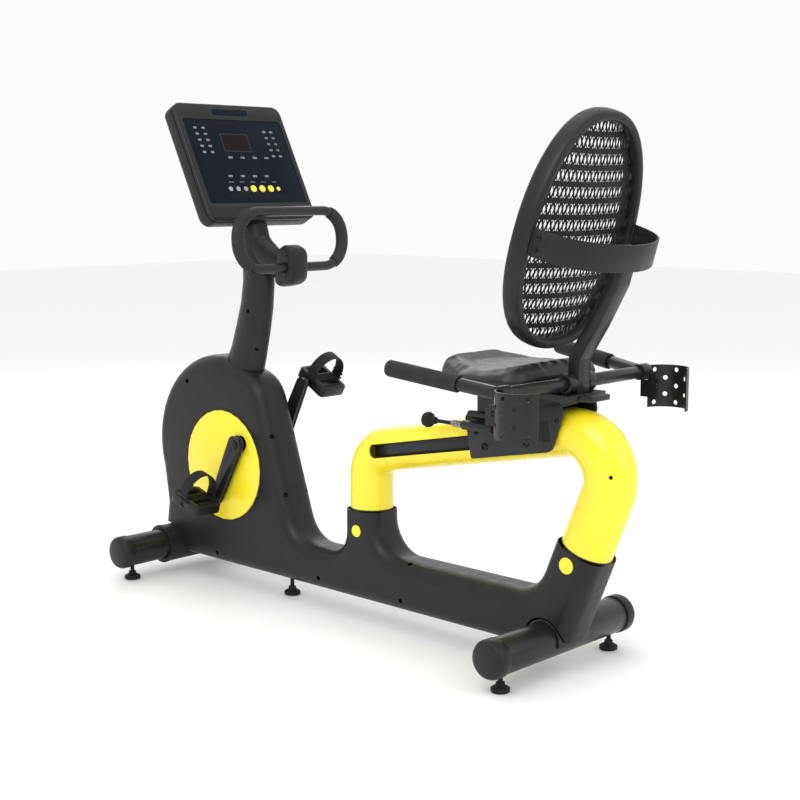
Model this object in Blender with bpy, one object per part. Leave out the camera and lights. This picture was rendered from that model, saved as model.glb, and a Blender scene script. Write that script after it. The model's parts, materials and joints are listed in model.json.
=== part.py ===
"""Recumbent exercise bike, as an assembly of separate pieces.

Metres, +Z up. +X points to the rear of the bike, so the rider faces -X, and +Y is the rider's right.
The origin is on the floor, under the middle of the bike's length and width.
"""

import math

import bmesh
import bpy
from mathutils import Matrix, Vector

GAP = 0.0003

# Stabilizers and feet
STAB_FRONT_X = -0.733
STAB_REAR_X = 0.587
STAB_Z = 0.080
STAB_RADIUS = 0.042
STAB_WALL = 0.003
STAB_HALF = 0.215
CAP_RADIUS = 0.0445
CAP_LENGTH = 0.036
SLEEVE_RADIUS = 0.052
SLEEVE_HALF = 0.100
SADDLE_RADIUS = 0.048
SADDLE_HALF = 0.055
FOOT_Y = 0.200
FOOT_RADIUS = 0.0215
CENTRE_FOOT_X = -0.295

# Body shells
SHELL_HALF = 0.056
SHELL_WALL = 0.003
SHELL_ROUND = 0.038
BODY_BOTTOM = 0.052
BEAM_TOP = 0.179
HOUSING_X = -0.545
HOUSING_Z = 0.370
HOUSING_RADIUS = 0.255
COVER_X = -0.504
COVER_Z = 0.331
COVER_RADIUS = 0.150

# Yellow rail tube
TUBE_RADIUS = 0.0540
TUBE_SWELL = 1.13
TUBE_WALL = 0.003
STUB_HALF = 0.0555
REAR_STUB_HALF = 0.0620
FRONT_RISER_X = 0.0045
FRONT_JOINT_Z = 0.282
REAR_JOINT_X = 0.664
REAR_JOINT_Z = 0.290
REAR_RISER_ANGLE = math.radians(68.0)
RAIL_ANGLE = math.radians(11.0)
RAIL_X = 0.200
RAIL_Z = 0.466
SLOT_START = -0.155
SLOT_END = 0.420
SLOT_HALF = 0.017

# Crank, pedals and flywheel
CRANK_X = -0.420
CRANK_Z = 0.401
CRANK_LENGTH = 0.175
CRANK_LEAN = math.radians(27.7)
CRANK_Y = 0.0835
CRANK_THICK = 0.015
PEDAL_Y = 0.155
FLYWHEEL_X = -0.600
FLYWHEEL_Z = 0.340
FLYWHEEL_RADIUS = 0.130
PULLEY_RADIUS = 0.074
SMALL_PULLEY_RADIUS = 0.022
BELT_Y = 0.036
BRAKE_X = -0.497
BRAKE_Z = 0.478

# Mast, handlebar and console
BAR_X = -0.283
BAR_Z = 0.943
BAR_RADIUS = 0.0125
BAR_HALF = 0.180
BAR_HEIGHT = 0.144
BAR_LEAN = math.radians(4.0)
CONSOLE_X = -0.457
CONSOLE_Z = 1.143
CONSOLE_TILT = math.radians(26.9)
CONSOLE_HALF_W = 0.183
CONSOLE_HALF_H = 0.168
CONSOLE_DEPTH = 0.050
SCREEN_HALF_W = 0.166
SCREEN_HALF_H = 0.121

# Seat and back
CROSS_X = 0.627
CROSS_Z = 0.657
CROSS_HALF = 0.236
CLAMP_LENGTH = 0.032
HANDLE_RADIUS = 0.0145
HANDLE_TIP = (0.354, 0.300, 0.692)
HOLDER_X = 0.683
HOLDER_Y = 0.2775
HOLDER_Z = 0.622
HOLDER_RADIUS = 0.050
BACK_BOTTOM = (0.545, 0.729)
BACK_TOP = (0.694, 1.240)
BACK_HALF = 0.194
KNOB = (0.296, -0.100, 0.547)

# Welded frame and mast seat
SPINE_BOTTOM = 0.072
SPINE_TOP = 0.140
SPINE_HALF = 0.025
POST_HALF = 0.017
POST_DROP = 0.016
BEARING_INNER = 0.0133
AXLE_RADIUS = 0.0125
MAST_LEAN = math.radians(22.0)
MAST_SEAT = Vector((-0.470, 0.0, 0.6043))
MAST_DIRECTION = Vector((math.sin(MAST_LEAN), 0.0, math.cos(MAST_LEAN)))
MAST_DEPTH = 0.010
REAR_DIRECTION = Vector((math.cos(REAR_RISER_ANGLE), 0.0, math.sin(REAR_RISER_ANGLE)))
REAR_JOINT = Vector((REAR_JOINT_X, 0.0, REAR_JOINT_Z))
SPINE_START = -0.715
SPINE_END = 0.560
CHANNEL_WALL = 0.003
CRANK_SHELL_RADIUS = 0.026
SPIGOT_WALL = 0.005
FORK_INNER = 0.0445
FORK_OUTER = 0.0490
FLYWHEEL_PIN_RADIUS = 0.0083
BRAKE_PIN_RADIUS = 0.0053

# Pedals
PEDAL_TILT = {"left": 18.0, "right": 30.0}
PEDAL_HALF_X = 0.055
PEDAL_HALF_Y = 0.044
PEDAL_HALF_Z = 0.0150
STRAP_HALF_X = 0.016

# Console keys
KEY_RADIUS = 0.0095
KEY_PLACES = [(-0.006, -0.080), (0.024, -0.080), (0.054, -0.080)]
KEY_FLOOR = -0.0052
KEY_BASE = -0.0036
SCREEN_BACK = -0.0057
BEZEL_BACK = -0.0122
CONSOLE_CORNER = 0.026
CONSOLE_WALL = 0.003

# Seat slide and pull knob
PAN_Z = 0.6360
CARRIAGE_WALL = 0.005
TAIL_HALF = 0.032
PAD_HEIGHT = 0.035
NOSE_RISE = 0.026
REAR_RISE = 0.020
KNOB_ROD_Z = 0.549
KNOB_ROD_RADIUS = 0.0045
KNOB_HOUSING = (0.392, 0.478)

# Backrest
BACK_AXIS = Vector((BACK_TOP[0] - BACK_BOTTOM[0], 0.0, BACK_TOP[1] - BACK_BOTTOM[1]))
BACK_LENGTH = BACK_AXIS.length
BACK_UP = BACK_AXIS.normalized()
BACK_OUT = Vector((BACK_UP.z, 0.0, -BACK_UP.x))
BACK_CENTRE = Vector(((BACK_TOP[0] + BACK_BOTTOM[0]) / 2, 0.0, (BACK_TOP[1] + BACK_BOTTOM[1]) / 2))
BACK_EGG = 0.09
HOOP_DEPTH = 0.025
HOOP_WIDTH = 0.0135
BAND_HEIGHT = -0.012
BAND_REACH = 0.134
BAND_THICK = 0.005
POST_SIZE = (0.022, 0.015)

# The whole bike is moved by this much along X, so that its box is centred on the origin
BIKE_SHIFT = 0.0083

CHARCOAL = (0.028, 0.028, 0.030)
BLACK = (0.012, 0.012, 0.013)
YELLOW = (0.93, 0.84, 0.06)
STEEL = (0.55, 0.56, 0.58)
CLOTH = (0.030, 0.031, 0.034)
SCREEN = (0.006, 0.010, 0.018)


def clear_scene():
    for item in list(bpy.data.objects):
        bpy.data.objects.remove(item, do_unlink=True)


def material(name, colour, metallic, roughness):
    mat = bpy.data.materials.new(name)
    mat.use_nodes = True
    shader = mat.node_tree.nodes["Principled BSDF"]
    shader.inputs["Base Color"].default_value = (*colour, 1.0)
    shader.inputs["Metallic"].default_value = metallic
    shader.inputs["Roughness"].default_value = roughness
    return mat


FINISHES = {
    "body": (CHARCOAL, 0.0, 0.42),
    "frame": (CHARCOAL, 0.6, 0.40),
    "yellow": (YELLOW, 0.0, 0.28),
    "rubber": (BLACK, 0.0, 0.75),
    "steel": (STEEL, 1.0, 0.30),
    "cloth": (CLOTH, 0.0, 0.85),
    "screen": (SCREEN, 0.0, 0.10),
}


def finish(name, mesh, look, origin=(0.0, 0.0, 0.0)):
    """Turns a bmesh in world metres into the named object, with its origin at the given point."""
    bmesh.ops.remove_doubles(mesh, verts=mesh.verts, dist=0.000005)
    bmesh.ops.recalc_face_normals(mesh, faces=mesh.faces)
    bmesh.ops.translate(mesh, verts=mesh.verts, vec=-Vector(origin))
    data = bpy.data.meshes.new(name)
    mesh.to_mesh(data)
    mesh.free()
    data.shade_smooth()
    data.set_sharp_from_angle(angle=math.radians(32.0))
    item = bpy.data.objects.new(name, data)
    item.location = origin
    bpy.context.collection.objects.link(item)
    colour, metallic, roughness = FINISHES[look]
    data.materials.append(material(name, colour, metallic, roughness))
    return item


def helper(name, mesh):
    """A shape that only cuts or joins another one."""
    item = finish(name, mesh, "body")
    item.hide_render = True
    item.display_type = "WIRE"
    return item


def combine(item, mesh, operation):
    """Cuts or joins one more shape on an object."""
    other = helper(f"{item.name}_tool{len(item.modifiers)}", mesh)
    modifier = item.modifiers.new(other.name, "BOOLEAN")
    modifier.operation = operation
    modifier.solver = "EXACT"
    modifier.object = other
    return item


def cut(item, mesh):
    return combine(item, mesh, "DIFFERENCE")


def join(item, mesh):
    return combine(item, mesh, "UNION")


def loft(rings, closed=False, cap=True):
    """Skins a list of rings of equal length. A closed loft joins its last ring to its first."""
    mesh = bmesh.new()
    rows = [[mesh.verts.new(point) for point in ring] for ring in rings]
    count = len(rows[0])
    pairs = list(zip(rows, rows[1:]))
    if closed:
        pairs.append((rows[-1], rows[0]))
    for low, high in pairs:
        for i in range(count):
            j = (i + 1) % count
            mesh.faces.new((low[i], low[j], high[j], high[i]))
    if cap and not closed:
        mesh.faces.new(rows[0])
        mesh.faces.new(rows[-1])
    return mesh


def box(low, high):
    rings = []
    for z in (low[2], high[2]):
        front = [(low[0], low[1], z), (high[0], low[1], z)]
        back = [(high[0], high[1], z), (low[0], high[1], z)]
        rings.append(front + back)
    return loft(rings)


def turned(profile, centre, axis="Y", segments=24):
    """Turns (radius, distance) points about an axis through the centre. A closed profile makes a ring."""
    frames = {
        "X": (Vector((1, 0, 0)), Vector((0, 1, 0)), Vector((0, 0, 1))),
        "Y": (Vector((0, 1, 0)), Vector((0, 0, 1)), Vector((1, 0, 0))),
        "Z": (Vector((0, 0, 1)), Vector((1, 0, 0)), Vector((0, 1, 0))),
    }
    along, side, up = frames[axis]
    rings = []
    for radius, distance in profile:
        ring = []
        for i in range(segments):
            angle = 2 * math.pi * i / segments
            spoke = side * math.cos(angle) + up * math.sin(angle)
            ring.append(Vector(centre) + along * distance + spoke * radius)
        rings.append(ring)
    return rings


def turned_solid(profile, centre, axis="Y", segments=24):
    return loft(turned(profile, centre, axis, segments))


def turned_ring(profile, centre, axis="Y", segments=24):
    return loft(turned(profile, centre, axis, segments), closed=True)


def rod(radius, start, end, centre, axis="Y", segments=24):
    return turned_solid([(radius, start), (radius, end)], centre, axis, segments)


def sleeve(inner, outer, start, end, centre, axis="Y", segments=24):
    profile = [(outer, start), (outer, end), (inner, end), (inner, start)]
    return turned_ring(profile, centre, axis, segments)


def arc(centre, radius, start, end, count):
    """Points on a circle, with angles in degrees."""
    points = []
    for i in range(count):
        angle = math.radians(start + (end - start) * i / (count - 1))
        points.append((centre[0] + radius * math.cos(angle), centre[1] + radius * math.sin(angle)))
    return points


def rounded(corners, steps=4):
    """A closed outline from (x, z, radius) corners. A corner of radius 0 stays sharp."""
    points = []
    count = len(corners)
    for i, (x, z, radius) in enumerate(corners):
        here = Vector((x, z))
        back = Vector(corners[i - 1][:2]) - here
        ahead = Vector(corners[(i + 1) % count][:2]) - here
        if radius == 0:
            points.append((x, z))
            continue
        half = back.angle(ahead) / 2
        reach = radius / math.tan(half)
        centre = here + (back.normalized() + ahead.normalized()).normalized() * (radius / math.sin(half))
        first = here + back.normalized() * reach - centre
        last = here + ahead.normalized() * reach - centre
        sweep = first.angle_signed(last)
        for step in range(steps + 1):
            turn = Matrix.Rotation(-sweep * step / steps, 2)
            points.append(tuple(centre + turn @ first))
    return points


def offset(points, distance):
    """Moves a closed anticlockwise outline inward by a distance."""
    moved = []
    count = len(points)
    for i in range(count):
        before = Vector(points[i]) - Vector(points[i - 1])
        after = Vector(points[(i + 1) % count]) - Vector(points[i])
        normal_a = Vector((-before.y, before.x)).normalized()
        normal_b = Vector((-after.y, after.x)).normalized()
        middle = (normal_a + normal_b).normalized()
        stretch = 1 / max(0.5, middle.dot(normal_a))
        moved.append(tuple(Vector(points[i]) + middle * (distance * stretch)))
    return moved


def plate(points, start, end, axis="Y"):
    """A flat plate with the given outline. The outline is (x, z) for axis Y and (x, y) for axis Z."""
    rings = []
    for level in (start, end):
        if axis == "Y":
            rings.append([(x, level, z) for x, z in points])
        else:
            rings.append([(x, y, level) for x, y in points])
    return loft(rings)


def rounded_plate(points, start, end, radius, axis="Y", steps=2):
    """A plate whose two rims are rounded over."""
    rings = []
    middle = (start + end) / 2
    half = abs(end - start) / 2
    angles = [math.pi / 2 * i / steps for i in range(steps + 1)]
    levels = []
    for angle in reversed(angles):
        levels.append((-half + radius - radius * math.sin(angle), radius - radius * math.cos(angle)))
    levels += [(half - radius + radius * math.sin(a), radius - radius * math.cos(a)) for a in angles]
    for level, inset in levels:
        outline = offset(points, inset)
        if axis == "Y":
            rings.append([(x, middle + level, z) for x, z in outline])
        else:
            rings.append([(x, y, middle + level) for x, y in outline])
    return loft(rings)


def frames_along(path, up, closed=False):
    """The side and up directions at each point of a path, kept as near to the given up as they can be."""
    count = len(path)
    frames = []
    for i in range(count):
        before = path[i - 1] if closed or i > 0 else path[i]
        after = path[(i + 1) % count] if closed or i < count - 1 else path[i]
        along = (Vector(after) - Vector(before)).normalized()
        side = along.cross(Vector(up)).normalized()
        frames.append((side, side.cross(along).normalized()))
    return frames


def oval(across, high, count, phase=0.0):
    """An ellipse as (side, up) pairs."""
    angles = [2 * math.pi * (i + phase) / count for i in range(count)]
    return [(across * math.cos(a), high * math.sin(a)) for a in angles]


def rings_along(path, section, up, closed=False):
    rings = []
    for point, (side, top) in zip(path, frames_along(path, up, closed)):
        rings.append([Vector(point) + side * a + top * b for a, b in section])
    return rings


def bar(path, section, up=(0.0, 1.0, 0.0), closed=False):
    return loft(rings_along(path, section, up, closed), closed=closed)


def bend(path, radius, steps):
    """Rounds the inner corners of a 3-D path with arcs."""
    points = [Vector(path[0])]
    for before, here, after in zip(path, path[1:], path[2:]):
        here = Vector(here)
        back = Vector(before) - here
        ahead = Vector(after) - here
        half = back.angle(ahead) / 2
        reach = radius / math.tan(half)
        inward = (back.normalized() + ahead.normalized()).normalized()
        centre = here + inward * (radius / math.sin(half))
        first = here + back.normalized() * reach - centre
        last = here + ahead.normalized() * reach - centre
        sweep = first.angle(last)
        turn_axis = first.cross(last).normalized()
        for step in range(steps + 1):
            points.append(centre + Matrix.Rotation(sweep * step / steps, 3, turn_axis) @ first)
    points.append(Vector(path[-1]))
    return points


def on_rail(along, normal, y=0.0):
    """A point by its distance along the rail and its height over the rail's axis."""
    return Vector(
        (
            RAIL_X + along * math.cos(RAIL_ANGLE) - normal * math.sin(RAIL_ANGLE),
            y,
            RAIL_Z + along * math.sin(RAIL_ANGLE) + normal * math.cos(RAIL_ANGLE),
        )
    )


def rail_plate(corners, start, end, steps=3):
    """A plate along Y whose outline is given in rail coordinates."""
    outline = rounded([(*on_rail(a, n).xz, r) for a, n, r in corners], steps)
    return plate(outline, start, end)


# ---------------------------------------------------------------- base


def make_stabilizer(place, x):
    tube = sleeve(STAB_RADIUS - STAB_WALL, STAB_RADIUS, -STAB_HALF, STAB_HALF, (x, 0, STAB_Z))
    finish(f"{place}_stabilizer", tube, "frame")
    for side, name in ((-1, "left"), (1, "right")):
        start = STAB_HALF + GAP
        end = STAB_HALF + CAP_LENGTH
        spigot = STAB_RADIUS - STAB_WALL - GAP
        profile = [
            (spigot, start - 0.020),
            (spigot, start),
            (CAP_RADIUS, start),
            (CAP_RADIUS, end - 0.012),
            (CAP_RADIUS - 0.004, end - 0.004),
            (CAP_RADIUS - 0.014, end),
        ]
        profile = [(radius, side * distance) for radius, distance in profile]
        finish(f"{place}_end_cap_{name}", turned_solid(profile, (x, 0, STAB_Z)), "rubber")


def make_foot(name, x, y, top):
    profile = [
        (FOOT_RADIUS - 0.002, 0.0),
        (FOOT_RADIUS, 0.002),
        (FOOT_RADIUS, 0.009),
        (0.010, 0.016),
        (0.010, 0.022),
        (0.0055, 0.022),
        (0.0055, top),
    ]
    finish(name, turned_solid(profile, (x, y, 0), "Z", 24), "rubber")


def make_feet():
    top = STAB_Z - STAB_RADIUS - GAP
    for place, x in (("front", STAB_FRONT_X), ("rear", STAB_REAR_X)):
        make_foot(f"{place}_foot_left", x, -FOOT_Y, top)
        make_foot(f"{place}_foot_right", x, FOOT_Y, top)
    make_foot("centre_foot", CENTRE_FOOT_X, 0.0, SPINE_BOTTOM - GAP)


def make_stabilizer_brackets():
    centre = (STAB_FRONT_X, 0, STAB_Z)
    collar = sleeve(STAB_RADIUS + GAP, SLEEVE_RADIUS, -SLEEVE_HALF, SLEEVE_HALF, centre)
    finish("front_stabilizer_sleeve", collar, "body")
    saddle = sleeve(STAB_RADIUS + GAP, SADDLE_RADIUS, -SADDLE_HALF, SADDLE_HALF, (STAB_REAR_X, 0, STAB_Z))
    item = finish("rear_stabilizer_saddle", saddle, "frame")
    low = (STAB_REAR_X - 0.1, -0.1, 0.0)
    high = (STAB_REAR_X + 0.1, 0.1, STAB_Z - 0.010)
    cut(item, box(low, high))


# ---------------------------------------------------------------- frame inside the shells


def make_spine():
    """The welded steel frame: beam, post to the mast, crank shell, flywheel fork and riser spigots."""
    low = (SPINE_START, -SPINE_HALF, SPINE_BOTTOM)
    high = (SPINE_END, SPINE_HALF, SPINE_TOP)
    spine = finish("frame_spine", box(low, high), "frame")
    inner = SPINE_HALF - CHANNEL_WALL
    roof = SPINE_TOP - CHANNEL_WALL
    post_foot = (-0.400, 0.0, roof - 0.002)
    post_top = MAST_SEAT - MAST_DIRECTION * (MAST_DEPTH + POST_DROP)
    post = [post_foot, (CRANK_X, 0.0, CRANK_Z), post_top]
    square = [(-POST_HALF, -0.020), (POST_HALF, -0.020), (POST_HALF, 0.020), (-POST_HALF, 0.020)]
    join(spine, bar(post, square, up=(1.0, 0.0, 0.0)))
    join(spine, rod(CRANK_SHELL_RADIUS, -0.0300, 0.0183, (CRANK_X, 0, CRANK_Z), segments=24))
    fork_foot = [(-0.650, 0.130, 0.01), (-0.550, 0.130, 0.01)]
    fork_corners = fork_foot + [(-0.582, 0.362, 0.018), (-0.618, 0.362, 0.018)]
    for side in (-1, 1):
        join(spine, plate(rounded(fork_corners), side * FORK_INNER, side * FORK_OUTER))
    join(spine, box((-0.650, -FORK_OUTER + 0.0005, 0.120), (-0.550, FORK_OUTER - 0.0005, 0.1385)))
    arm_corners = [(-0.505, 0.462, 0.008), (-0.440, 0.44, 0.0), (-0.440, 0.50, 0.0), (-0.505, 0.494, 0.008)]
    join(spine, plate(rounded(arm_corners), 0.002, 0.012))
    spigot = TUBE_RADIUS - TUBE_WALL - 0.0008
    join(spine, rod(spigot, SPINE_TOP - 0.03, FRONT_JOINT_Z + 0.035, (FRONT_RISER_X, 0, 0), "Z", 24))
    rear_path = [REAR_JOINT - REAR_DIRECTION * 0.165, REAR_JOINT + REAR_DIRECTION * 0.035]
    join(spine, bar(rear_path, oval(spigot, spigot, 24)))
    join(spine, box((0.500, -0.024, 0.100), (0.610, 0.024, 0.168)))
    bore = spigot - SPIGOT_WALL
    cut(spine, rod(bore, SPINE_TOP + CHANNEL_WALL, FRONT_JOINT_Z + 0.1, (FRONT_RISER_X, 0, 0), "Z", 24))
    rear_bore = [REAR_JOINT - REAR_DIRECTION * 0.110, REAR_JOINT + REAR_DIRECTION * 0.1]
    cut(spine, bar(rear_bore, oval(bore, bore, 24)))
    for start, end in ((-0.672, -0.450), (-0.350, 0.485)):
        cut(spine, box((start, -inner, 0.0), (end, inner, roof)))
    cut(spine, rod(SLEEVE_RADIUS + GAP, -0.2, 0.2, (STAB_FRONT_X, 0, STAB_Z)))
    cut(spine, rod(SADDLE_RADIUS + GAP, -0.2, 0.2, (STAB_REAR_X, 0, STAB_Z)))
    cut(spine, rod(BEARING_INNER, -0.1, 0.1, (CRANK_X, 0, CRANK_Z), segments=24))
    cut(spine, rod(FLYWHEEL_PIN_RADIUS, -0.1, 0.1, (FLYWHEEL_X, 0, FLYWHEEL_Z), segments=16))
    cut(spine, rod(BRAKE_PIN_RADIUS, -0.1, 0.1, (BRAKE_X, 0, BRAKE_Z), segments=16))


# ---------------------------------------------------------------- shells


def body_outline():
    """The side view of the body: beam, two stubs and the round housing, anticlockwise."""
    cos_r = math.cos(REAR_RISER_ANGLE)
    sin_r = math.sin(REAR_RISER_ANGLE)

    def beside_riser(side, height):
        """A point on the edge of the rear stub at a height."""
        x = REAR_JOINT_X + side * REAR_STUB_HALF * sin_r
        z = REAR_JOINT_Z - side * REAR_STUB_HALF * cos_r
        return x + (height - z) * cos_r / sin_r, height

    top = REAR_JOINT + REAR_DIRECTION * 0.075
    stub_end_z = FRONT_JOINT_Z + 0.080
    front = FRONT_RISER_X - STUB_HALF
    back = FRONT_RISER_X + STUB_HALF
    corners = [
        (-0.795, BODY_BOTTOM, 0.040),
        (*beside_riser(1, BODY_BOTTOM), 0.045),
        (top.x + REAR_STUB_HALF * sin_r, top.z - REAR_STUB_HALF * cos_r, 0.045),
        (top.x - REAR_STUB_HALF * sin_r, top.z + REAR_STUB_HALF * cos_r, 0.045),
        (*beside_riser(-1, BEAM_TOP), 0.090),
        (back, BEAM_TOP, 0.085),
        (back, stub_end_z, 0.045),
        (front, stub_end_z, 0.045),
        (front, 0.161, 0.060),
        (-0.229, 0.161, 0.090),
        (-0.366, 0.572, 0.100),
    ]
    outline = []
    rounded_corners = rounded(corners + [(-0.60, 0.66, 0.0), (-0.80, 0.40, 0.0), (-0.772, 0.190, 0.05)], 4)
    for point in rounded_corners:
        if point in ((-0.60, 0.66), (-0.80, 0.40)):
            continue
        outline.append(point)
    tail = outline[-5:]
    outline = outline[:-5]
    housing = arc((HOUSING_X, HOUSING_Z), HOUSING_RADIUS, 86.0, 198.0, 16)
    return outline + housing + tail


def half_shell(side):
    """One thin moulded half, open on the seam side, as a single closed skin."""
    outline = body_outline()
    steps = 3
    rings = []
    for wall in (0.0, SHELL_WALL):
        levels = [(0.0, GAP / 2)]
        for i in range(steps + 1):
            angle = math.pi / 2 * i / steps
            inset = SHELL_ROUND * (1 - math.cos(angle))
            levels.append((inset, SHELL_HALF - SHELL_ROUND + (SHELL_ROUND - wall) * math.sin(angle)))
            if wall:
                levels[-1] = (SHELL_ROUND - (SHELL_ROUND - wall) * math.cos(angle) - wall, levels[-1][1])
        skin = []
        for inset, level in levels:
            points = offset(outline, inset + wall)
            skin.append([(x, side * level, z) for x, z in points])
        rings.append(skin)
    mesh = bmesh.new()
    rows = []
    for ring in rings[0][::-1] + rings[1]:
        rows.append([mesh.verts.new(point) for point in ring])
    count = len(outline)
    for low, high in zip(rows, rows[1:]):
        for i in range(count):
            j = (i + 1) % count
            mesh.faces.new((low[i], low[j], high[j], high[i]))
    mesh.faces.new(rows[0])
    mesh.faces.new(rows[-1])
    return mesh


def front_notch():
    """Room for the front stabilizer and its sleeve under the housing's nose."""
    reach = SLEEVE_RADIUS + 2 * GAP
    points = arc((STAB_FRONT_X, STAB_Z), reach, -90.0, 90.0, 17)
    points += [(-0.90, STAB_Z + reach), (-0.90, STAB_Z - reach)]
    return plate(points, -0.2, 0.2)


def rear_notch():
    """Room for the rear stabilizer and its saddle."""
    reach = SADDLE_RADIUS + 0.004
    points = arc((STAB_REAR_X, STAB_Z), reach, 0.0, 180.0, 17)
    points += [(STAB_REAR_X - reach, 0.0), (STAB_REAR_X + 0.2, 0.0), (STAB_REAR_X + 0.2, STAB_Z)]
    return plate(points, -0.2, 0.2)


def block_beyond(point, direction):
    """A large block that starts at a plane through the point and goes on along the direction."""
    square = [(-0.08, -0.08), (0.08, -0.08), (0.08, 0.08), (-0.08, 0.08)]
    return bar([point, point + direction * 0.15], square)


def make_shells():
    for side, name in ((-1, "left"), (1, "right")):
        shell = finish(f"body_shell_{name}", half_shell(side), "body")
        cut(shell, front_notch())
        cut(shell, rear_notch())
        cut(shell, block_beyond(Vector((FRONT_RISER_X, 0, FRONT_JOINT_Z)), Vector((0, 0, 1))))
        cut(shell, block_beyond(REAR_JOINT, REAR_DIRECTION))
        cut(shell, rod(COVER_RADIUS - 0.0035, 0.03 * side, 0.08 * side, (COVER_X, 0, COVER_Z), segments=48))
        cut(shell, rod(0.012, 0.05, 0.08, (CENTRE_FOOT_X, 0, 0), "Z", 16))
        cut(shell, mast_solid(GAP * 2))


def make_covers():
    """Round dished covers over the openings in the housing, each with a hole for the crank."""
    for side, name in ((-1, "left"), (1, "right")):
        face = SHELL_HALF + GAP
        profile = [
            (COVER_RADIUS - 0.008, face),
            (COVER_RADIUS - 0.001, face),
            (COVER_RADIUS, face + 0.0015),
            (COVER_RADIUS - 0.002, face + 0.004),
            (COVER_RADIUS - 0.012, face + 0.005),
            (COVER_RADIUS - 0.020, face + 0.0085),
            (0.050, face + 0.0095),
            (0.050, face + 0.0065),
            (COVER_RADIUS - 0.022, face + 0.0055),
        ]
        profile = [(radius, side * distance) for radius, distance in profile]
        rings = turned(profile, (COVER_X, 0, COVER_Z), segments=28)
        mesh = bmesh.new()
        rows = [[mesh.verts.new(point) for point in ring] for ring in rings]
        for low, high in zip(rows, rows[1:] + rows[:1]):
            if low is rows[6]:
                continue
            for i in range(28):
                j = (i + 1) % 28
                mesh.faces.new((low[i], low[j], high[j], high[i]))
        mesh.faces.new(rows[6])
        mesh.faces.new(rows[7])
        cover = finish(f"round_cover_{name}", mesh, "yellow")
        cut(cover, rod(0.021, 0.03 * side, 0.09 * side, (CRANK_X, 0, CRANK_Z), segments=24))


# ---------------------------------------------------------------- drive


def make_crank_set():
    centre = (CRANK_X, 0, CRANK_Z)
    end = CRANK_Y + CRANK_THICK / 2 + 0.002
    finish("crank_axle", rod(AXLE_RADIUS, -end, end, centre, segments=24), "steel", centre)
    for name, start, end in (("left", -0.0403, -0.0303), ("right", 0.0186, 0.0266)):
        ring = sleeve(BEARING_INNER, CRANK_SHELL_RADIUS, start, end, centre, segments=24)
        finish(f"crank_bearing_{name}", ring, "steel")
    rim = [
        (PULLEY_RADIUS, BELT_Y - 0.005),
        (PULLEY_RADIUS, BELT_Y + 0.005),
        (PULLEY_RADIUS - 0.010, BELT_Y + 0.005),
        (PULLEY_RADIUS - 0.012, BELT_Y + 0.002),
        (0.024, BELT_Y + 0.002),
        (0.022, BELT_Y + 0.005),
        (AXLE_RADIUS + GAP, BELT_Y + 0.005),
        (AXLE_RADIUS + GAP, BELT_Y - 0.005),
        (0.022, BELT_Y - 0.005),
        (0.024, BELT_Y - 0.002),
        (PULLEY_RADIUS - 0.012, BELT_Y - 0.002),
        (PULLEY_RADIUS - 0.010, BELT_Y - 0.005),
    ]
    finish("drive_pulley", turned_ring(rim, centre, segments=24), "steel", centre)
    for side, name in ((-1, "left"), (1, "right")):
        make_crank(side, name)


def pedal_centre(side):
    """The left crank points down and forward, the right one up and back."""
    x = CRANK_X + side * CRANK_LENGTH * math.sin(CRANK_LEAN)
    z = CRANK_Z + side * CRANK_LENGTH * math.cos(CRANK_LEAN)
    return Vector((x, side * PEDAL_Y, z))


def make_crank(side, name):
    """The crank arm with the pedal's spindle screwed into its end."""
    hub = Vector((CRANK_X, side * CRANK_Y, CRANK_Z))
    eye = pedal_centre(side)
    eye.y = hub.y
    along = (eye - hub).normalized()
    across = Vector((along.z, 0.0, -along.x))
    half = CRANK_THICK / 2
    outline = []
    for i in range(9):
        angle = math.pi / 2 + math.pi * i / 8
        outline.append(hub + (along * math.cos(angle) + across * math.sin(angle)) * 0.020)
    for i in range(9):
        angle = -math.pi / 2 + math.pi * i / 8
        outline.append(eye + (along * math.cos(angle) + across * math.sin(angle)) * 0.0135)
    points = [(point.x, point.z) for point in outline]
    item = finish(f"crank_{name}", rounded_plate(points, hub.y - half, hub.y + half, 0.004), "frame", hub)
    boss_start = side * (SHELL_HALF + 0.015)
    join(item, rod(0.019, boss_start, hub.y, (CRANK_X, 0, CRANK_Z), segments=24))
    join(item, rod(0.007, hub.y, side * (PEDAL_Y + 0.042), (eye.x, 0, eye.z), segments=16))
    cut(item, rod(AXLE_RADIUS + GAP, -0.2, 0.2, (CRANK_X, 0, CRANK_Z), segments=24))


def make_flywheel():
    centre = (FLYWHEEL_X, 0, FLYWHEEL_Z)
    finish("flywheel_axle", rod(0.008, -0.0495, 0.0495, centre, segments=16), "steel")
    inner = 0.0083
    profile = [
        (FLYWHEEL_RADIUS - 0.001, -0.030),
        (FLYWHEEL_RADIUS, -0.029),
        (FLYWHEEL_RADIUS, -0.007),
        (FLYWHEEL_RADIUS - 0.001, -0.006),
        (FLYWHEEL_RADIUS - 0.030, -0.006),
        (FLYWHEEL_RADIUS - 0.036, -0.014),
        (0.036, -0.014),
        (0.030, -0.004),
        (0.016, -0.003),
        (0.016, BELT_Y - 0.005),
        (SMALL_PULLEY_RADIUS, BELT_Y - 0.005),
        (SMALL_PULLEY_RADIUS, BELT_Y + 0.005),
        (inner, BELT_Y + 0.005),
        (inner, -0.032),
        (0.030, -0.032),
        (0.036, -0.022),
        (FLYWHEEL_RADIUS - 0.036, -0.022),
        (FLYWHEEL_RADIUS - 0.030, -0.030),
    ]
    finish("flywheel", turned_ring(profile, centre, segments=28), "steel", centre)


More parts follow.
